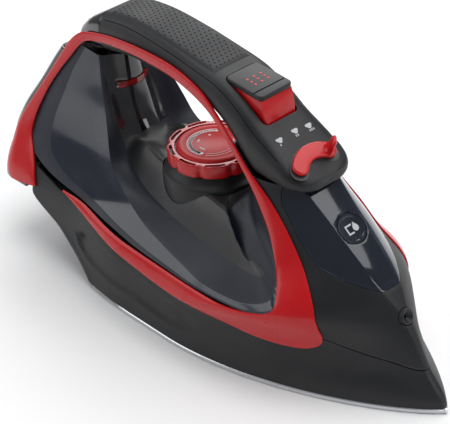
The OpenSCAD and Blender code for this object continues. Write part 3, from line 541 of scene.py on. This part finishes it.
# ---- soleplate
def sole_half(inset, n=44):
    w, tail, rear = SOLE_WIDE - inset, SOLE_TAIL - inset, SOLE_REAR - inset
    c = SOLE_CORNER - inset / 2
    line = []
    for i in range(n + 1):
        t = SOLE_NOSE * (i / n) ** 1.5
        tip = inset * 2.2
        line.append((tip + t * (1 - tip / SOLE_NOSE), max(w * nose_rise(t / SOLE_NOSE), 0.6)))
    line += [(b, w - 0.4 * (b - 150) / 38) for b in spread(156, 188, 6)]
    line += [(b, w - 0.4 + (rear - w + 0.4) * smooth((b - 188) / (tail - c - 188)))
             for b in spread(193, tail - c - 3, 6)]
    line += [(tail - c + c * math.sin(a), rear - c + c * math.cos(a))
             for a in QUARTER]
    return line


def make_soleplate():
    levels = [(0.0, 0.7), (0.25, 0.2), (0.7, 0.0), (2.5, 0.0), (3.0, 0.4)]
    rings = []
    for up, inset in levels:
        half = sole_half(inset)
        rings.append([at(b, y, up) for b, y in half] + [at(b, -y, up) for b, y in half[::-1]])
    n = len(rings[0])
    verts = [p for r in rings for p in r]
    faces = [[k * n + i, k * n + (i + 1) % n, (k + 1) * n + (i + 1) % n, (k + 1) * n + i]
             for k in range(len(rings) - 1) for i in range(n)]
    faces += [list(range(n)), list(range((len(rings) - 1) * n, len(rings) * n))]
    sole = piece("sole", verts, faces, metal_sole)
    holes = []
    for i in range(VENTS):
        for s in (-1, 1):
            b = FIRST_VENT + VENT_PITCH * i
            p = at(b, s * 0.66 * SOLE_WIDE * nose_rise(b / SOLE_NOSE), 0)
            vent = [(0, -1), (2.2, -1), (2.2, 0.0), (1.4, 0.9), (1.4, 5), (0, 5)]
            holes.append(turned("vent", vent, Matrix.Translation(p), metal_sole, 20))
    cut(sole, joined("vents", holes))
    give(sole, "iron", "metal_sole", "soleplate")


# ---- lower skirt
RECESS = [(234, 29), (228, 34), (215, 35.5), (190, 33.6), (160, 29.5), (139, 26.3), (133.5, 22), (136, 16.5),
          (150, 13.6),
          (177, 16.2), (219, 18.3), (230, 21.5)]


def recess_depth(back, up):
    """How far inside the skirt's long recess a point is, in millimetres, negative outside."""
    n = len(RECESS)
    inside, near = False, 1e9
    for i in range(n):
        (x1, y1), (x2, y2) = RECESS[i], RECESS[(i + 1) % n]
        if (y1 > up) != (y2 > up) and back < (x2 - x1) * (up - y1) / (y2 - y1) + x1:
            inside = not inside
        dx, dy = x2 - x1, y2 - y1
        t = min(max(((back - x1) * dx + (up - y1) * dy) / (dx * dx + dy * dy), 0), 1)
        near = min(near, math.hypot(back - x1 - t * dx, up - y1 - t * dy))
    return near if inside else -near


def make_skirt():
    low = 3.8

    def level(back, s):
        return low + s * (skirt_top(back) - 0.3 - low)
    grid = []
    for s in spread(0, 1, 34):
        front, behind = level(14, s), level(281, s)
        start, reach, tail, c = toe(front) + 0.3, nose_reach(front) + 30, skirt_tail(behind) - 0.2, skirt_corner(behind)
        spots = [(start + reach * (i / 50) ** 1.5, 0) for i in range(51)]
        spots += [(b, 0) for b in spread(start + reach, tail - c, 56)[1:-1]]
        spots += [(tail - c + c * math.sin(a), c - c * math.cos(a)) for a in QUARTER]
        half = []
        for b, draw in spots:
            up = level(b, s)
            w = side(min(max(b, toe(up) + 0.2), skirt_tail(up) - skirt_corner(up)), up) - 0.2 - draw
            if 120 < b < 245:
                w -= 1.3 * smooth(recess_depth(b, up) / 1.6 + 0.5)
            half.append((b, max(w, 0.5), up))
        grid.append([at(*p) for p in half] + [at(b, -y, z) for b, y, z in half[::-1]])
    o = sheet("skirt", grid, SHELL_WALL, black_satin, wrap=True, soften=0.4)
    give(o, "iron", "black_satin", "lower_skirt")


# ---- nose and tank window
WINDOW = [(98, 113), (98, 100), (90, 91), (82, 83), (75, 77), (69, 72), (62, 69.2), (54, 66.7), (46, 63.9),
          (40, 61.5), (30, 58)]


def nose_grid(rows, cols):
    top = 106

    def back_at(up, c):
        return toe(up) + (opening_front(up) - toe(up)) * c ** 1.6

    def height(b, s):
        low = skirt_top(b) + 0.3
        return low + s * (top - low)
    grid = []
    for s in spread(0, 1, rows):
        half = []
        b = toe(60)
        for _ in range(6):
            b = back_at(height(b, s), 0)
        up = height(b, s)
        half += [(back_at(up, 0) - 0.35 * (1 - f * f), f * flat_front(up), up) for f in spread(0, 0.9, 4)]
        for c in spread(0, 1, cols):
            b = back_at(height(30, s), c)
            for _ in range(6):
                up = height(b, s)
                b = back_at(up, c)
            half.append((b, max(side(max(b, toe(up)), up), 0.4), up))
        grid.append([at(b, -y, z) for b, y, z in half[:0:-1]] + [at(*p) for p in half])
    return grid


def window_tool(shift):
    line = [along([(b, 0, u) for b, u in WINDOW], s) for s in spread(0, 1, 50)]
    pts = [(p.x, p.z) for p in line] + [(10, 58), (10, 113)]
    verts = [at(b - shift, y, u + shift * 0.8) for y in (-70, 70) for b, u in pts]
    n = len(pts)
    faces = [list(range(n)), list(range(n, 2 * n))] + [[i, (i + 1) % n, n + (i + 1) % n, n + i] for i in range(n)]
    return piece("window_tool", verts, faces, black_satin)


def make_nose():
    nose = sheet("nose", nose_grid(64, 44), NOSE_WALL, black_satin, soften=0)
    window = bpy.data.objects.new("window", nose.data.copy())
    bpy.context.collection.objects.link(window)
    window.data.materials[0] = smoky
    cut(nose, window_tool(0))
    hole = turned("hole", [(0, -12), (4.8, -12), (4.8, 12), (0, 12)], nozzle_place, black_satin, 48)
    cut(nose, hole)
    cut(window, window_tool(0.35), "INTERSECT")
    cut(window, turned("hole", [(0, -9), (9.0, -9), (9.0, 9), (0, 9)], cap_place, smoky, 64))
    for o in (nose, window):
        soft(o, 0.3, 45)
        bake(o)
    give(nose, "iron", "black_satin", "nose_shell")
    give(window, "iron", "smoky_tank", "tank_window")


def tilted(origin, angle, axis="Y"):
    return Matrix.Translation(origin) @ Matrix.Rotation(math.radians(angle), 4, axis)


ON_SIDE = Matrix.Rotation(math.pi / 2, 4, "X")
nozzle_place = tilted(at(33, 0, 46.5), 68)
cap_place = tilted(at(66.5, 0, 85.7), math.degrees(math.atan2(36 * KZ, (toe(104) - toe(68)) * KX)))


def make_nozzle():
    outline = [(0.8, -6), (2.5, -6), (2.5, -2), (4.5, -2), (4.5, 4.6), (4.2, 5.6), (3.5, 6.0), (3.1, 5.9), (1.4, 4.0),
               (0.8, 3.6)]
    o = turned("nozzle", outline, nozzle_place, black_satin, 64)
    give(o, "iron", "black_satin", "spray_nozzle")


# ---- filler cap
def drop_outline(r, n=40):
    """A plain water drop, point up."""
    pts = []
    for i in range(n):
        a = 2 * math.pi * i / n
        k = max(math.cos(a), 0) ** 3
        pts.append((r * math.cos(a) * (1 + 0.75 * k), r * math.sin(a) * (1 - 0.55 * k)))
    return pts


def make_filler_cap():
    disc = turned("filler", [(0, -1.8), (8.2, -1.8), (8.55, -1.4), (8.55, -0.35), (8.2, 0), (6.9, 0), (6.6, -0.25),
                             (0, -0.25)],
                  cap_place, smoky, 96)
    lug = prism("lug", [(-10.0, -2), (-6, -2), (-6, 2), (-10.0, 2)], -1.75, -0.4, cap_place, smoky)
    pin = turned("pin", [(0, -3), (1, -3), (1, 3), (0, 3)],
                 cap_place @ Matrix.Translation((-9.6 * MM, 0, -1 * MM)) @ ON_SIDE, element_steel, 24)
    give(joined("filler_flap", [disc, lug, pin]), "filler", "smoky_tank", "filler_cap")
    low, high = -0.25, -0.12
    place = cap_place @ Matrix.Translation((0.4 * MM, 2.4 * MM, 0)) @ Matrix.Rotation(math.pi, 4, "Z")
    drop = prism("drop", drop_outline(1.9), low, high, place, printed_grey)
    outline = [(-2.6, -4.4), (2.8, -4.4), (2.8, -0.6), (1.9, -0.6), (1.9, -3.5), (-1.7, -3.5), (-1.7, -0.2),
               (-2.6, 0.4)]
    jug = prism("jug", outline, low, high, cap_place @ Matrix.Translation((0, 0.6 * MM, 0)), printed_grey)
    give(joined("fill_mark", [drop, jug]), "filler", "smoky_tank")


# ---- water tank
RIM = [(134, 20, 117), (116, 22.5, 100), (105, 25.6, 90), (97, 28.5, 80.5), (89, 33, 70), (83, 39, 60),
       (80.5, 42.5, 53.5), (82.5, 45.5, 47.5), (97, 51.2, 44.4), (128, 54.3, 44.2), (155, 53.9, 45.2),
       (182, 52.8, 46.6),
       (208, 50, 48.7), (234, 46.2, 51), (262, 45, 55), (280, 42.5, 60.5), (287, 39.5, 66.5), (289, 36, 73),
       (287, 31.5, 85), (279, 27, 101), (270, 23, 116), (257, 19.2, 132)]
RIDGE = [(137, 15.5, 116), (121, 19.5, 99.5), (111, 22.5, 89.5), (103, 26, 79.5), (94.5, 31, 69.5), (86.5, 37.5, 60.3),
         (85.5, 40, 54.5), (89.5, 43.5, 49.5), (103, 48.8, 46.6), (127, 51.7, 47.8), (146, 49.3, 50.2), (165, 46.5, 53),
         (183, 43.3, 56.2), (198, 39.6, 61), (209, 36.8, 67), (216.5, 34.7, 72), (221, 33, 76.5), (224, 31.3, 82),
         (226.5, 29.3, 89.5), (231, 26, 101), (238, 21.5, 114), (243, 17.6, 129.5)]
CREASE = [(139, 8.5, 115), (129, 12, 99), (124, 15.5, 88), (119, 20, 78), (108, 28, 70.5), (97, 35, 62.5),
          (97, 36, 59.5), (101, 36.8, 58), (108, 37.3, 57.8), (119, 37.4, 58.3), (133, 36.7, 59), (149, 35, 60),
          (166, 33, 61), (184, 30, 62.5), (198, 27.3, 64.5), (209, 24.5, 68), (217.5, 21.5, 71.5), (224.5, 18.5, 76),
          (230.5, 17, 84), (236, 16.5, 100), (240.3, 15.3, 112.5), (244, 13.5, 127.5)]
MIDDLE = [(140, 0, 115), (138, 0, 103), (137, 0, 94), (137, 0, 87), (137.5, 0, 82.5), (139, 0, 80),
          (140.5, 0, 79.2), (145, 0, 79), (150, 0, 79), (157, 0, 79), (164, 0, 79), (171, 0, 79),
          (180, 0, 79), (190, 0, 78.5), (199, 0, 77.5), (206.5, 0, 77), (213, 0, 77.3), (219.5, 0, 80),
          (225, 0, 87), (229.5, 0, 99), (233.3, 0, 112.5), (236.5, 0, 127.5)]


def make_tank():
    """The tank's upper face: outer side up to a sharp ridge, inner side, then the dished deck."""
    rows, grid, last_point = 190, [], len(RIM) - 1
    for s in spread(0, 1, rows):
        a, b, c, d = [along(line, s) for line in (RIM, RIDGE, CREASE, MIDDLE)]
        u = s * last_point
        corner = smooth((u - 2) / 3.5) if u < 5.5 else smooth((10.5 - u) / 5)
        dome = smooth((u - 5) / 4) * smooth((18 - u) / 3)
        behind = smooth((s - 0.58) / 0.25)
        a.y -= 0.4
        near = c.lerp(d, 0.32) + Vector((16 * corner, 4 * corner, 12 * dome - corner))
        far = c.lerp(d, 0.62) + Vector((16 * corner - 1.5 * behind, 6 * corner, 6 * dome + 2.5 * corner))
        flip = Vector((1, -1, 1))
        deck = [c, near, far, d, far * flip, near * flip, c * flip]
        half = [a.lerp(b, f) for f in spread(0, 1, 9)]
        half += [b.lerp(c, f) for f in spread(0, 1, 6)[1:]]
        half += [along(deck, f) for f in spread(0, 0.5, 15)[1:]]
        row = [at(*p) for p in half]
        grid.append(row + [Vector((p.x, -p.y, p.z)) for p in row[-2::-1]])
    last = len(grid[0]) - 2

    def region(r, c):
        c, u = min(c, last - c), r / rows * last_point
        if u < 5:
            return 0
        if c < 2 or 8 <= c < 13:
            return 0
        return 1 if c < 8 else 2 if u < 17.5 else 3
    finishes = [navy_satin, navy_gloss, deck_black, black_gloss]
    tank = sheet("tank", grid, SHELL_WALL, finishes, region, soften=0, angle=19, facing=at(185, 0, 108))
    dial_at = dial_centre()
    hole = [(0, -80), (28.8, -80), (28.8, 90), (0, 90)]
    cut(tank, turned("hole", hole, Matrix.Translation(dial_at), black_satin, 96))
    low, high = [Vector(c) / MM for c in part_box("pilot_lens")]
    edge, reach = 0.3, 9
    slot = [(low.x - reach, low.y - edge), (high.x + reach, low.y - edge),
            (high.x + reach, high.y + edge), (low.x - reach, high.y + edge)]
    cut(tank, prism("slot", slot, low.z - edge, high.z + edge))
    soft(tank, 0.3, 42)
    bake(tank, 19)
    give(tank, "iron", "navy_tank", "tank_shell")


# ---- heel
def heel_round(up):
    return max(min(14, rear_width(up) * 0.6, (heel_tail(up) - heel_front(up)) * 0.6), 0)


def make_heel():
    grid = []
    for up in spread(40, 126, 60):
        w, tail, front = rear_width(up), heel_tail(up), heel_front(up)
        c = heel_round(up)
        half = [(b, side(b, up)) for b in spread(front, tail - c, 8)]
        half += [(tail - c + c * math.sin(a), w - c + c * math.cos(a))
                 for a in QUARTER[1:-1]]
        half += [(tail, (w - c - 0.5) * f) for f in spread(1, 0, 6)]
        grid.append([at(b, y, up) for b, y in half] + [at(b, -y, up) for b, y in half[-2::-1]])
    give(sheet("heel", grid, SHELL_WALL, black_gloss, soften=0.5), "iron", "black_gloss", "heel_shell")


# ---- trim
TRIM = [((250, 50.5), (250, 51.5)), ((232, 46.6), (232, 51.3)), ((211, 42.8), (211, 49)),
        ((184, 39), (184, 47)), ((158, 36.2), (158, 45.8)), ((134, 34.5), (134, 44.8)),
        ((110, 31.5), (112, 44.6)), ((92, 28.5), (100, 44.8)), ((76, 27.5), (90, 46)),
        ((65, 28.6), (83.5, 48)), ((58.6, 33), (80.8, 50.4)), ((58, 42), (79.8, 53.5)),
        ((62.3, 56), (82.5, 60)), ((73, 69.5), (88.5, 68.5)), ((86, 84), (98, 81.5)),
        ((102.5, 98), (108, 92)), ((119, 109.5), (119, 103.5)), ((132, 122), (131, 115)),
        ((143, 132.5), (140, 124)), ((156, 142), (154, 134)), ((178, 148.4), (176, 141.2)),
        ((202, 149.5), (202, 143.4)), ((226, 147.6), (226, 142)), ((243, 144.5), (241, 139.8)),
        ((255, 140.8), (251, 136.8)), ((264, 133.5), (257.5, 131)), ((272, 122), (264.5, 122)),
        ((281, 107.5), (272, 112)), ((291, 91.5), (280.5, 98)), ((299, 77.5), (287, 82)),
        ((303.2, 66), (288, 71)), ((303.8, 56.5), (283, 62.5)), ((302.5, 48.5), (278.5, 55)),
        ((300.5, 44), (276.3, 49)), ((297, 41), (274.5, 44.3))]


def trimmed_side(back, up):
    """The body's half width where the trim lies on it, drawn in at the heel's rear corners."""
    c = heel_round(up)
    d = max(back - heel_tail(up) + c, 0)
    return side(back, up) - (c - math.sqrt(max(c * c - d * d, 0)))


def make_trim(sign, name, node_name):
    rows, cols, grid = 300, 9, []
    for s in spread(0, 1, rows):
        o = along([p[0] + (0,) for p in TRIM], s)
        i = along([p[1] + (0,) for p in TRIM], s)
        row = []
        for f in spread(0, 1, cols):
            p = o.lerp(i, f)
            crown = 0.5 * (2 * f - 1) ** 4
            q = at(p.x, trimmed_side(p.x, p.y), p.y)
            row.append(Vector((q.x, sign * (q.y + (TRIM_PROUD - crown) * MM), q.z)))
        grid.append(row)
    o = sheet(name, grid, TRIM_WALL, red_gloss, soften=0.35, facing=(0, sign, 0.08))
    give(o, "iron", "red_gloss", node_name)


# ---- handle
def grip_ring(back, steps=96):
    """A ring round the grip's section at a distance back from the toe."""
    top, low = grip_top(back) - 1, grip_bottom(back)
    w, z, h = grip_wide(back), (top + low) / 2, (top - low) / 2
    k = 0.12 + 0.4 * smooth((back - 118) / 45)
    ring = []
    for i in range(steps):
        a = math.radians(-90 + 360 / steps * (i + 0.5))
        c, s = math.cos(a), math.sin(a)
        ring.append(at(back, math.copysign(w * abs(c) ** (0.36 if s > 0 else k), c), z + h * s))
    return ring


def loft(name, rings, material):
    n, m = len(rings), len(rings[0])
    faces = [[k * m + c, (k + 1) * m + c, (k + 1) * m + (c + 1) % m, k * m + (c + 1) % m] for k in range(n - 1)
             for c in range(m)]
    faces += [list(range(m)), list(range((n - 1) * m, n * m))]
    return piece(name, [p for r in rings for p in r], faces, material)


button_place = tilted(at(132, 0, 148.9), 5)
panel_angle = math.degrees(math.atan2(23.3 * KZ, 37.5 * KX))
panel_place = tilted(at(81.5, -2, 111.5), panel_angle)


def arc_outline(r, w, start, end, steps=28):
    """A band of width w along an arc, with round ends, from start to end in degrees."""
    def pt(rr, a):
        return (-rr * math.cos(math.radians(a)), rr * math.sin(math.radians(a)))
    pts = [pt(r + w / 2, a) for a in spread(start, end, steps)]
    c = pt(r, end)
    pts += [(c[0] + pt(w / 2, end + a)[0], c[1] + pt(w / 2, end + a)[1]) for a in spread(15, 165, 11)]
    pts += [pt(r - w / 2, a) for a in spread(end, start, steps)]
    c = pt(r, start)
    pts += [(c[0] + pt(w / 2, start + a)[0], c[1] + pt(w / 2, start + a)[1]) for a in spread(195, 345, 11)]
    return pts


def rounded(l, w, r, n=8):
    pts = []
    for qx, qy, a0 in ((1, 1, 0), (-1, 1, 90), (-1, -1, 180), (1, -1, 270)):
        for k in range(n + 1):
            a = math.radians(a0 + 90 * k / n)
            pts.append((qx * (l / 2 - r) + r * math.cos(a), qy * (w / 2 - r) + r * math.sin(a)))
    return pts


def make_handle():
    stations = [82, 82.5, 83.2, 84] + spread(85.2, 239.8, 118) + [240]
    grid = [grip_ring(b) for b in stations]
    middle = sum(grid[0], Vector()) / len(grid[0])
    grid.insert(0, [middle.lerp(p, 0.05) for p in grid[0]])
    handle = sheet("handle", grid, GRIP_WALL, black_satin, wrap=True, soften=0)
    cut(handle, prism("well", rounded(32.3, 24.5, 3.2), -20.4, 24,
                      button_place @ Matrix.Translation((2.15 * MM, 0, 0))))
    cut(handle, prism("slot", arc_outline(ARC_RADIUS, 3.6, 10, 40), -6, 14, panel_place))
    soft(handle, 0.45, 48)
    bake(handle)
    give(handle, "iron", "black_satin", "handle_shell")
    lines = []
    for sign in (-1, 1):
        path = [pad_point(b, sign * (grip_wide(b) - 2.4), 0.0) for b in spread(100, 237, 60)]
        turns = [math.pi * k / 4 for k in range(8)]
        rings = [[p + Vector((0, SEAM_RADIUS * math.cos(t), SEAM_RADIUS * math.sin(t))) * MM for t in turns]
                 for p in path]
        lines.append(loft("seam", rings, dot_black))
    give(joined("grip_seams", lines), "iron", "black_satin")


def pad_point(back, left, lift):
    """A point on the grip's upper face, lifted by some millimetres."""
    top, low, w = grip_top(back) - 1, grip_bottom(back), grip_wide(back)
    c = (abs(left) / w) ** (1 / 0.36)
    return at(back, left, (top + low) / 2 + (top - low) / 2 * math.sqrt(1 - c * c) + lift)


def grip_dots(holder):
    """Small domes in staggered rows, set on the pad's points and baked into one mesh."""
    g = bpy.data.node_groups.new("grip_dots", "GeometryNodeTree")
    g.is_modifier = True
    g.interface.new_socket(name="Geometry", in_out="OUTPUT", socket_type="NodeSocketGeometry")
    g.interface.new_socket(name="Geometry", in_out="INPUT", socket_type="NodeSocketGeometry")
    for label, kind, value in (("Dot Radius", "NodeSocketFloat", 0.00062), ("Finish", "NodeSocketMaterial", None)):
        s = g.interface.new_socket(name=label, in_out="INPUT", socket_type=kind)
        if value:
            s.default_value = value
    i = g.nodes.new("NodeGroupInput").outputs
    out = g.nodes.new("NodeGroupOutput").inputs
    dot = node(g, "GeometryNodeMeshUVSphere", Segments=8, Rings=4, Radius=i["Dot Radius"])
    flat = node(g, "GeometryNodeTransform", Geometry=dot.outputs[0], Scale=(1.0, 1.0, 0.55))
    put = node(g, "GeometryNodeInstanceOnPoints", Points=i["Geometry"], Instance=flat.outputs[0])
    real = node(g, "GeometryNodeRealizeInstances", Geometry=put.outputs[0])
    paint = node(g, "GeometryNodeSetMaterial", Geometry=real.outputs[0], Material=i["Finish"])
    g.links.new(paint.outputs[0], out["Geometry"])
    m = holder.modifiers.new("dots", "NODES")
    m.node_group = g
    for item in g.interface.items_tree:
        if item.in_out == "INPUT" and item.name == "Finish":
            m[item.identifier] = dot_black
    return bake(holder)


def make_grip():
    lengths, widths = spread(152, 236, 72), spread(-13, 13, 23)

    def crowned(b, y):
        edge = min((b - 152) / 2, (236 - b) / 2, (13 - abs(y)) / 1.5, 1)
        return 1.0 * math.sqrt(max(0.0, 1 - (1 - edge) ** 2)) * 0.72 + 0.04
    grid = [[pad_point(b, y, crowned(b, y)) for y in widths] for b in lengths]
    pad = sheet("pad", grid, PAD_WALL, grip_black, soften=0, facing=(-0.05, 0, 1))
    give(pad, "iron", "grip_black", "grip_pad")
    rows = []
    for r, b in enumerate(spread(154.5, 233.5, 28)):
        rows += [(b, y) for y in (spread(-10.5, 10.5, 8) if r % 2 else spread(-9, 9, 7))]
    spots = [sum([pad_point(b + dx, y + dy, 0.64) for dx, dy in ((-0.2, -0.2), (0.2, -0.2), (0, 0.25))], Vector()) / 3
             for b, y in rows]
    me = bpy.data.meshes.new("grip_points")
    me.from_pydata([tuple(p) for p in spots], [], [])
    holder = bpy.data.objects.new("grip_dots", me)
    bpy.context.collection.objects.link(holder)
    grip_dots(holder)
    give(holder, "iron", "grip_black")


def make_rear_cap():
    cap = loft("rear_cover", [grip_ring(b, 72) for b in spread(240.3, 268, 30)], black_gloss)
    spot = at(255, 0, 137.5)
    pocket = [(0, -9.3), (8.05, -9.3), (8.05, 9.3), (0, 9.3)]
    cut(cap, turned("pocket", pocket, Matrix.Translation(spot) @ ON_SIDE, black_gloss, 64))
    cut(cap, prism("slot", [(-30, -5.1), (0, -5.1), (0, 5.1), (-30, 5.1)], -7.1, 7.1, Matrix.Translation(spot)))
    soft(cap, 0.5, 48)
    bake(cap)
    give(cap, "iron", "black_gloss", "rear_cap")


# ---- temperature dial
def dial_centre():
    low, high = [Vector(c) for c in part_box("dial_disc")]
    return Vector(((low.x + high.x) / 2, (low.y + high.y) / 2, low.z))


def make_dial():
    low, high = [Vector(c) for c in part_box("dial_ring")]
    centre = dial_centre()
    base = Matrix.Translation((centre.x, centre.y, low.z))
    tall = (high.z - low.z) / MM
    outline = []
    for k in range(LOBES * 32):
        a = 2 * math.pi * k / (LOBES * 32)
        r = DIAL_RADIUS - NOTCH_DEPTH * math.sin(a * LOBES / 2) ** 20
        outline.append((r * math.cos(a), r * math.sin(a)))
    ring = prism("ring", outline, 0, tall, base, red_gloss)
    soft(ring, 0.5, 35, 3)
    bake(ring)
    cut(ring, turned("bowl", [(0, 3), (21.4, 3), (21.4, tall + 2), (0, tall + 2)], base, black_satin, 96))
    cut(ring, turned("bore", [(0, -1), (3, -1), (3, 5), (0, 5)], base, black_satin, 48))

    def round_the_ring(width, half, high):
        outline = arc_outline(23.5, width, 180 - half, 180 + half, 14)
        places = [base @ Matrix.Rotation(2 * math.pi * k / LOBES, 4, "Z") for k in range(LOBES)]
        return [prism("slot", outline, tall - 2.2, high, place, black_satin) for place in places]
    cut(ring, joined("slots", round_the_ring(2.0, 11.5, tall + 1)))
    give(ring, "dial", "red_gloss", "dial_ring")
    # Painted shade: black pieces laid in the floor of each groove darken the grooves where shade falls.
    give(joined("groove_floor_shade", round_the_ring(1.8, 11.2, tall - 1.2)), "dial", "black_satin")
    d_low, d_high = [Vector(c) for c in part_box("dial_disc")]
    top = (d_high.z - d_low.z) / MM
    floor = Matrix.Translation((centre.x, centre.y, d_low.z))
    disc = turned("disc", [(0, 0), (20.2, 0), (20.4, 0.3), (20.4, top - 1.4), (19.9, top - 0.6), (18.8, top - 0.15),
                           (17.6, top),
                           (16.2, top - 0.05), (15.8, top - 0.35), (0, top - 0.45)], floor, red_satin, 128)
    give(disc, "dial", "red_satin", "dial_disc")
    marks = []
    lift = top - 0.5
    proud = lift + 0.26
    for a in spread(130, 284, 20):
        turn = floor @ Matrix.Rotation(math.radians(a), 4, "Z")
        wide = 1.2 + 1.0 * (a - 130) / 154
        marks.append(prism("step", arc_outline(12.6, wide, 177, 183, 5), lift, proud, turn, printed_white))
    marks.append(prism("scale", arc_outline(14.3, 0.45, -108, 52, 70), lift, proud, floor, printed_white))
    marks += [prism("edge", arc_outline(r, 0.3, 118, 240, 50), lift, proud, floor, printed_white) for r in (11.6, 13.6)]
    for a in (150, 205, 262):
        for k in range(1 + (a > 180) + (a > 240)):
            spot = floor @ Matrix.Rotation(math.radians(a + 9 * k), 4, "Z")
            marks.append(prism("dot", circle(0.6, 16, 8.4, 0), lift, proud, spot, printed_white))
    give(joined("dial_scale", marks), "dial", "red_satin")
    # Painted shade: a black ring set into the gap between the disc and the red ring, where shade falls.
    gap = [(20.45, tall - 3.2), (21.35, tall - 3.2), (21.35, tall - 1.0), (20.45, tall - 1.0)]
    shadow = turned("dial_gap_shade", gap, base, black_satin, 96)
    give(shadow, "dial", "black_satin")


def make_boss():
    boss_low, ring_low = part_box("dial_boss")[0][2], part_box("dial_ring")[0][2]
    centre = dial_centre()
    foot, brim, seat = boss_low / MM, 80.5 * KZ / MM, ring_low / MM - 0.4
    place = Matrix.Translation((centre.x, centre.y, 0))
    outline = [(26.1, foot), (28.5, foot), (28.5, brim - 1.0), (28.2, brim - 0.2), (27.4, brim + 0.3),
               (25.6, brim + 1.0), (24.2, brim + 2.4), (23.4, seat - 1.0), (22.4, seat - 0.2), (21.4, seat),
               (3.05, seat), (3.05, seat - 2.4), (18.2, seat - 2.4), (26.1, brim - 2.4)]
    o = turned("boss", outline, place, black_satin, 128)
    give(o, "iron", "black_satin", "dial_boss")


# ---- button, slider and marks
def make_button():
    side_view = [(-12.9, -3), (12.9, -3), (17.7, -16.4), (14.0, -16.4), (12.3, -14), (-12.9, -14)]
    base = prism("lower", side_view, -11.15, 11.15, button_place @ ON_SIDE, red_gloss)
    ahead = button_place @ Matrix.Translation((2.4 * MM, 0, 0))
    cut(base, prism("round", rounded(30.6, 22.3, 2.9), -20, 2, ahead, red_gloss), "INTERSECT")
    soft(base, 0.5, 40, 3)
    bake(base)
    give(base, "spray_button", "red_gloss", "button_body")
    cap = prism("cap", rounded(27, 23.5, 3), -3, 0, button_place, black_satin)
    soft(cap, 0.8, 40, 4)
    bake(cap)
    cut(cap, prism("groove", [(7.4, -13), (8.3, -13), (8.3, 13), (7.4, 13)], -0.7, 2, button_place))
    give(cap, "spray_button", "black_satin", "button_cap")
    marks = []
    for k in range(3):
        y = -4.6 + 4.6 * k
        for x in (-4.4, -1.4, 1.6):
            jet = [(x, y - 0.8), (x + 1.3, y - 0.5 + 0.2 * k), (x + 1.3, y + 0.4 + 0.2 * k), (x, y + 0.8)]
            marks.append(prism("jet", jet, -0.03, 0.1, button_place, red_gloss))
    give(joined("spray_mark", marks), "spray_button", "red_gloss")


def make_slider():
    plate = prism("plate", arc_outline(ARC_RADIUS, 9, -46, 40), 0.5, 3.1, panel_place, red_gloss)
    soft(plate, 0.8, 40, 4)
    bake(plate)
    a = math.radians(40)
    spot = panel_place @ Matrix.Rotation(math.pi - a, 4, "Z") @ Matrix.Translation((ARC_RADIUS * MM, 0, 0))
    turns = [2 * math.pi * k / 48 for k in range(48)]
    levels = ((2.6, 4.3, 0, 0.95), (3.6, 4.0, 0, 0.6), (5.5, 3.8, 0, 0.42), (8.6, 3.8, 0, 0.4),
              (10.6, 3.4, 0.2, 0.4), (11.5, 2.6, 0.4, 0.4), (12.1, 1.4, 0.5, 0.4))
    rings = []
    for z, r, shift, squeeze in levels:
        rings.append([spot @ Vector(((shift + r * math.cos(t)) * MM, r * squeeze * math.sin(t) * MM, z * MM))
                      for t in turns])
    tab = loft("tab", rings, red_gloss)
    give(joined("slider", [plate, tab]), "steam_control", "red_gloss", "steam_slider")
    # Painted shadow: this recess is a thin dark sheet just wider than the slider plate, standing for the shadow line
    # round the plate.
    recess = prism("slider_shadow_line", arc_outline(ARC_RADIUS, 10.4, -52, 46), -0.2, 0.25, panel_place, deck_black)
    give(recess, "iron", "black_gloss")


def cloud(size):
    """A plain puff of steam."""
    pts = []
    for i in range(36):
        a = 2 * math.pi * i / 36
        r = size * (1 + 0.18 * math.cos(3 * a))
        pts.append((r * math.cos(a) * 0.75, r * math.sin(a)))
    return pts


def make_marks():
    marks, low, high = [], -0.4, 0.16
    for k, (back, left) in enumerate(((106.8, -11.0), (107.2, 0.6), (106.4, 9.8))):
        spot = tilted(pad_point(back, left, 0), panel_angle)
        marks.append(prism("puff", cloud(2.0), low, high, spot, printed_grey))
        for j in range(k + 1):
            start, end = -1.6 + 1.3 * j, -0.9 + 1.3 * j
            stroke = [(2.2, start), (3.3, start), (3.3, end), (2.2, end)]
            marks.append(prism("stroke", stroke, low, high, spot, printed_grey))
    give(joined("steam_marks", marks), "iron", "black_satin")


# ---- pilot lens
def make_lens():
    low, high = [Vector(c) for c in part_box("pilot_lens")]
    mid = (low + high) / 2
    curve = 16.4
    front, back = curve + 0.7, curve - 2.2
    centre = Vector((high.x - front * MM, 0, mid.z))
    half = math.degrees(math.asin(11 / front))

    def spoke(r, a):
        return r * math.cos(math.radians(a)), r * math.sin(math.radians(a))
    outline = [spoke(front - 0.25 * abs(math.sin(math.radians(a * 9))), a) for a in spread(-half, half, 85)]
    outline += [spoke(back, a) for a in spread(half, -half, 30)]
    o = prism("lens", outline, -1.7, 1.7, Matrix.Translation(centre), lens_red)
    give(o, "iron", "lens_red", "pilot_lens")


# ---- pieces kept from the model
KEPT = {"heater_block": cast_alloy, "heating_element": element_steel, "chamber_cover": cast_alloy,
        "thermostat": ceramic,
        "thermal_fuse": ceramic, "tank_base": black_satin, "heel_base": black_satin, "inlet_drum": black_satin,
        "terminal_block": nylon, "dial_shaft": element_steel, "pilot_lamp": lamp_glass, "pump_piston": nylon,
        "pump_body": nylon, "slider_keeper": element_steel, "valve_plate": nylon}


def paint_kept():
    for name, material in KEPT.items():
        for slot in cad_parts[name].material_slots:
            slot.material = material


set_camera(azimuth=48.4, elevation=33.5, roll=3.2, distance=1.0, lens=142.96)
studio()
make_soleplate()
make_skirt()
make_nose()
make_nozzle()
make_filler_cap()
make_tank()
make_heel()
make_trim(-1, "trim_of_right", "trim_right")
make_trim(1, "trim_of_left", "trim_left")
make_handle()
make_grip()
make_rear_cap()
make_dial()
make_boss()
make_button()
make_slider()
make_marks()
make_lens()
paint_kept()
